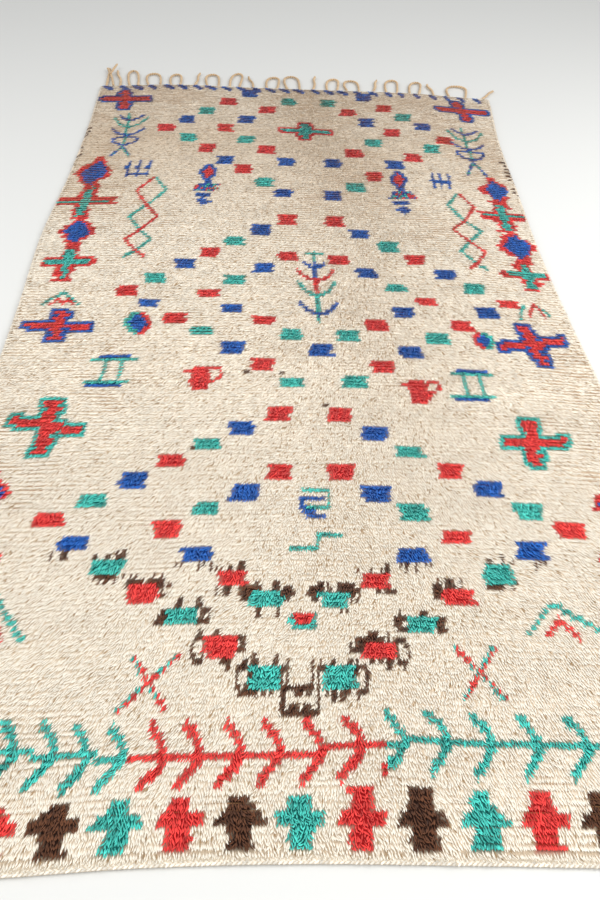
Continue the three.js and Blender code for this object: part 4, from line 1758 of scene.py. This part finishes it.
@dataclass
class Studio:
    """A pale floor, soft light and the camera."""

    eye: tuple[float, float, float] = (-0.017, -0.437, 1.213)
    pitch: float = 44.0
    yaw: float = 1.34
    roll: float = 1.4
    lens: float = 35.4
    floor_size: float = 14.0
    floor_gap: float = 0.0004
    floor_colour: Colour = linear(219, 219, 216)
    sky_colour: Colour = (0.98, 0.99, 1.0, 1.0)
    sky_strength: float = 0.61
    lamps: tuple[tuple[str, tuple[float, float, float], tuple[float, float, float], float, float], ...] = (
        ("right_window", (2.0, -0.3, 2.1), (0.0, -0.2, 0.0), 1.6, 58.0),
        ("left_fill", (-2.0, -0.3, 2.2), (0.0, -0.2, 0.0), 2.0, 32.0),
        ("near_fill", (0.3, -2.7, 1.9), (0.0, -1.6, 0.0), 1.4, 17.0),
    )

    def camera(self, plan: ClothPlan) -> None:
        """Places the camera above and before the near hem, looking down along the rug.

        Args:
            plan: the cloth's plan, whose zero the eye is measured from.
        """
        pitch, yaw, roll = (math.radians(a) for a in (self.pitch, self.yaw, self.roll))
        flat = math.cos(pitch)
        ahead = np.array([math.sin(yaw) * flat, math.cos(yaw) * flat, -math.sin(pitch)])
        level = np.array([math.cos(yaw), -math.sin(yaw), 0.0])
        over = np.cross(level, ahead)
        right = level * math.cos(roll) + over * math.sin(roll)
        up = over * math.cos(roll) - level * math.sin(roll)
        zero = plan.zero()
        eye = (self.eye[0] + zero[0], self.eye[1] + zero[1], self.eye[2])
        data = bpy.data.cameras.new("view")
        data.lens = self.lens
        data.sensor_width = 36.0
        data.clip_end = 100.0
        camera = bpy.data.objects.new("view", data)
        turn = Matrix([(right[k], up[k], -ahead[k]) for k in range(3)]).to_4x4()
        camera.matrix_world = Matrix.Translation(eye) @ turn
        bpy.context.scene.collection.objects.link(camera)
        bpy.context.scene.camera = camera

    def floor(self) -> None:
        """Lays the floor, a plain pale plane just under the rug."""
        half, low = self.floor_size / 2, -self.floor_gap
        points = np.array([(-half, -half, low), (half, -half, low), (half, half, low), (-half, half, low)])
        piece = mesh_piece("floor", points, np.array([(0, 1, 2, 3)]))
        sketch = NodeSketch("pale_floor")
        sketch.shader.inputs["Base Color"].default_value = self.floor_colour
        sketch.shader.inputs["Roughness"].default_value = 0.6
        piece.data.materials.append(sketch.material)

    def lights(self) -> None:
        """Adds an even pale sky and the large soft lamps."""
        scene = bpy.context.scene
        world = bpy.data.worlds.new("sky")
        world.use_nodes = True
        background = world.node_tree.nodes["Background"]
        background.inputs["Color"].default_value = self.sky_colour
        background.inputs["Strength"].default_value = self.sky_strength
        scene.world = world
        scene.view_settings.view_transform = "Standard"
        for name, place, aim, size, power in self.lamps:
            data = bpy.data.lights.new(name, "AREA")
            data.size = size
            data.energy = power
            lamp = bpy.data.objects.new(name, data)
            direction = np.array(aim) - np.array(place)
            lamp.matrix_world = Matrix.Translation(place) @ self.facing(direction)
            scene.collection.objects.link(lamp)

    @staticmethod
    def facing(direction: np.ndarray) -> Matrix:
        """The turn that points an object's -Z axis along a direction.

        Args:
            direction: where it points.

        Returns:
            The turn.
        """
        back = -direction / np.linalg.norm(direction)
        right = np.cross([0.0, 1.0, 0.0], back)
        right /= np.linalg.norm(right)
        over = np.cross(back, right)
        return Matrix([(right[k], over[k], back[k]) for k in range(3)]).to_4x4()

    def build(self, plan: ClothPlan) -> None:
        """Builds the camera, floor and lights.

        Args:
            plan: the cloth's plan.
        """
        self.camera(plan)
        self.floor()
        self.lights()


def main() -> None:
    """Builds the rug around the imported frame."""
    logging.basicConfig(level=logging.INFO, format="%(name)s %(message)s")
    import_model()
    plan = ClothPlan()
    Studio().build(plan)
    pile = KnottedPile(plan)
    chart = pile.chart()
    bed = pile.build_bed(chart)
    ends = pile.build_ends(chart)
    hem = TwinedHem(plan).build()
    selvedges = Selvedge(plan).build()
    cords = FarFringe(plan).build()
    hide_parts("knotted_cloth")


if __name__ == "__main__":
    main()
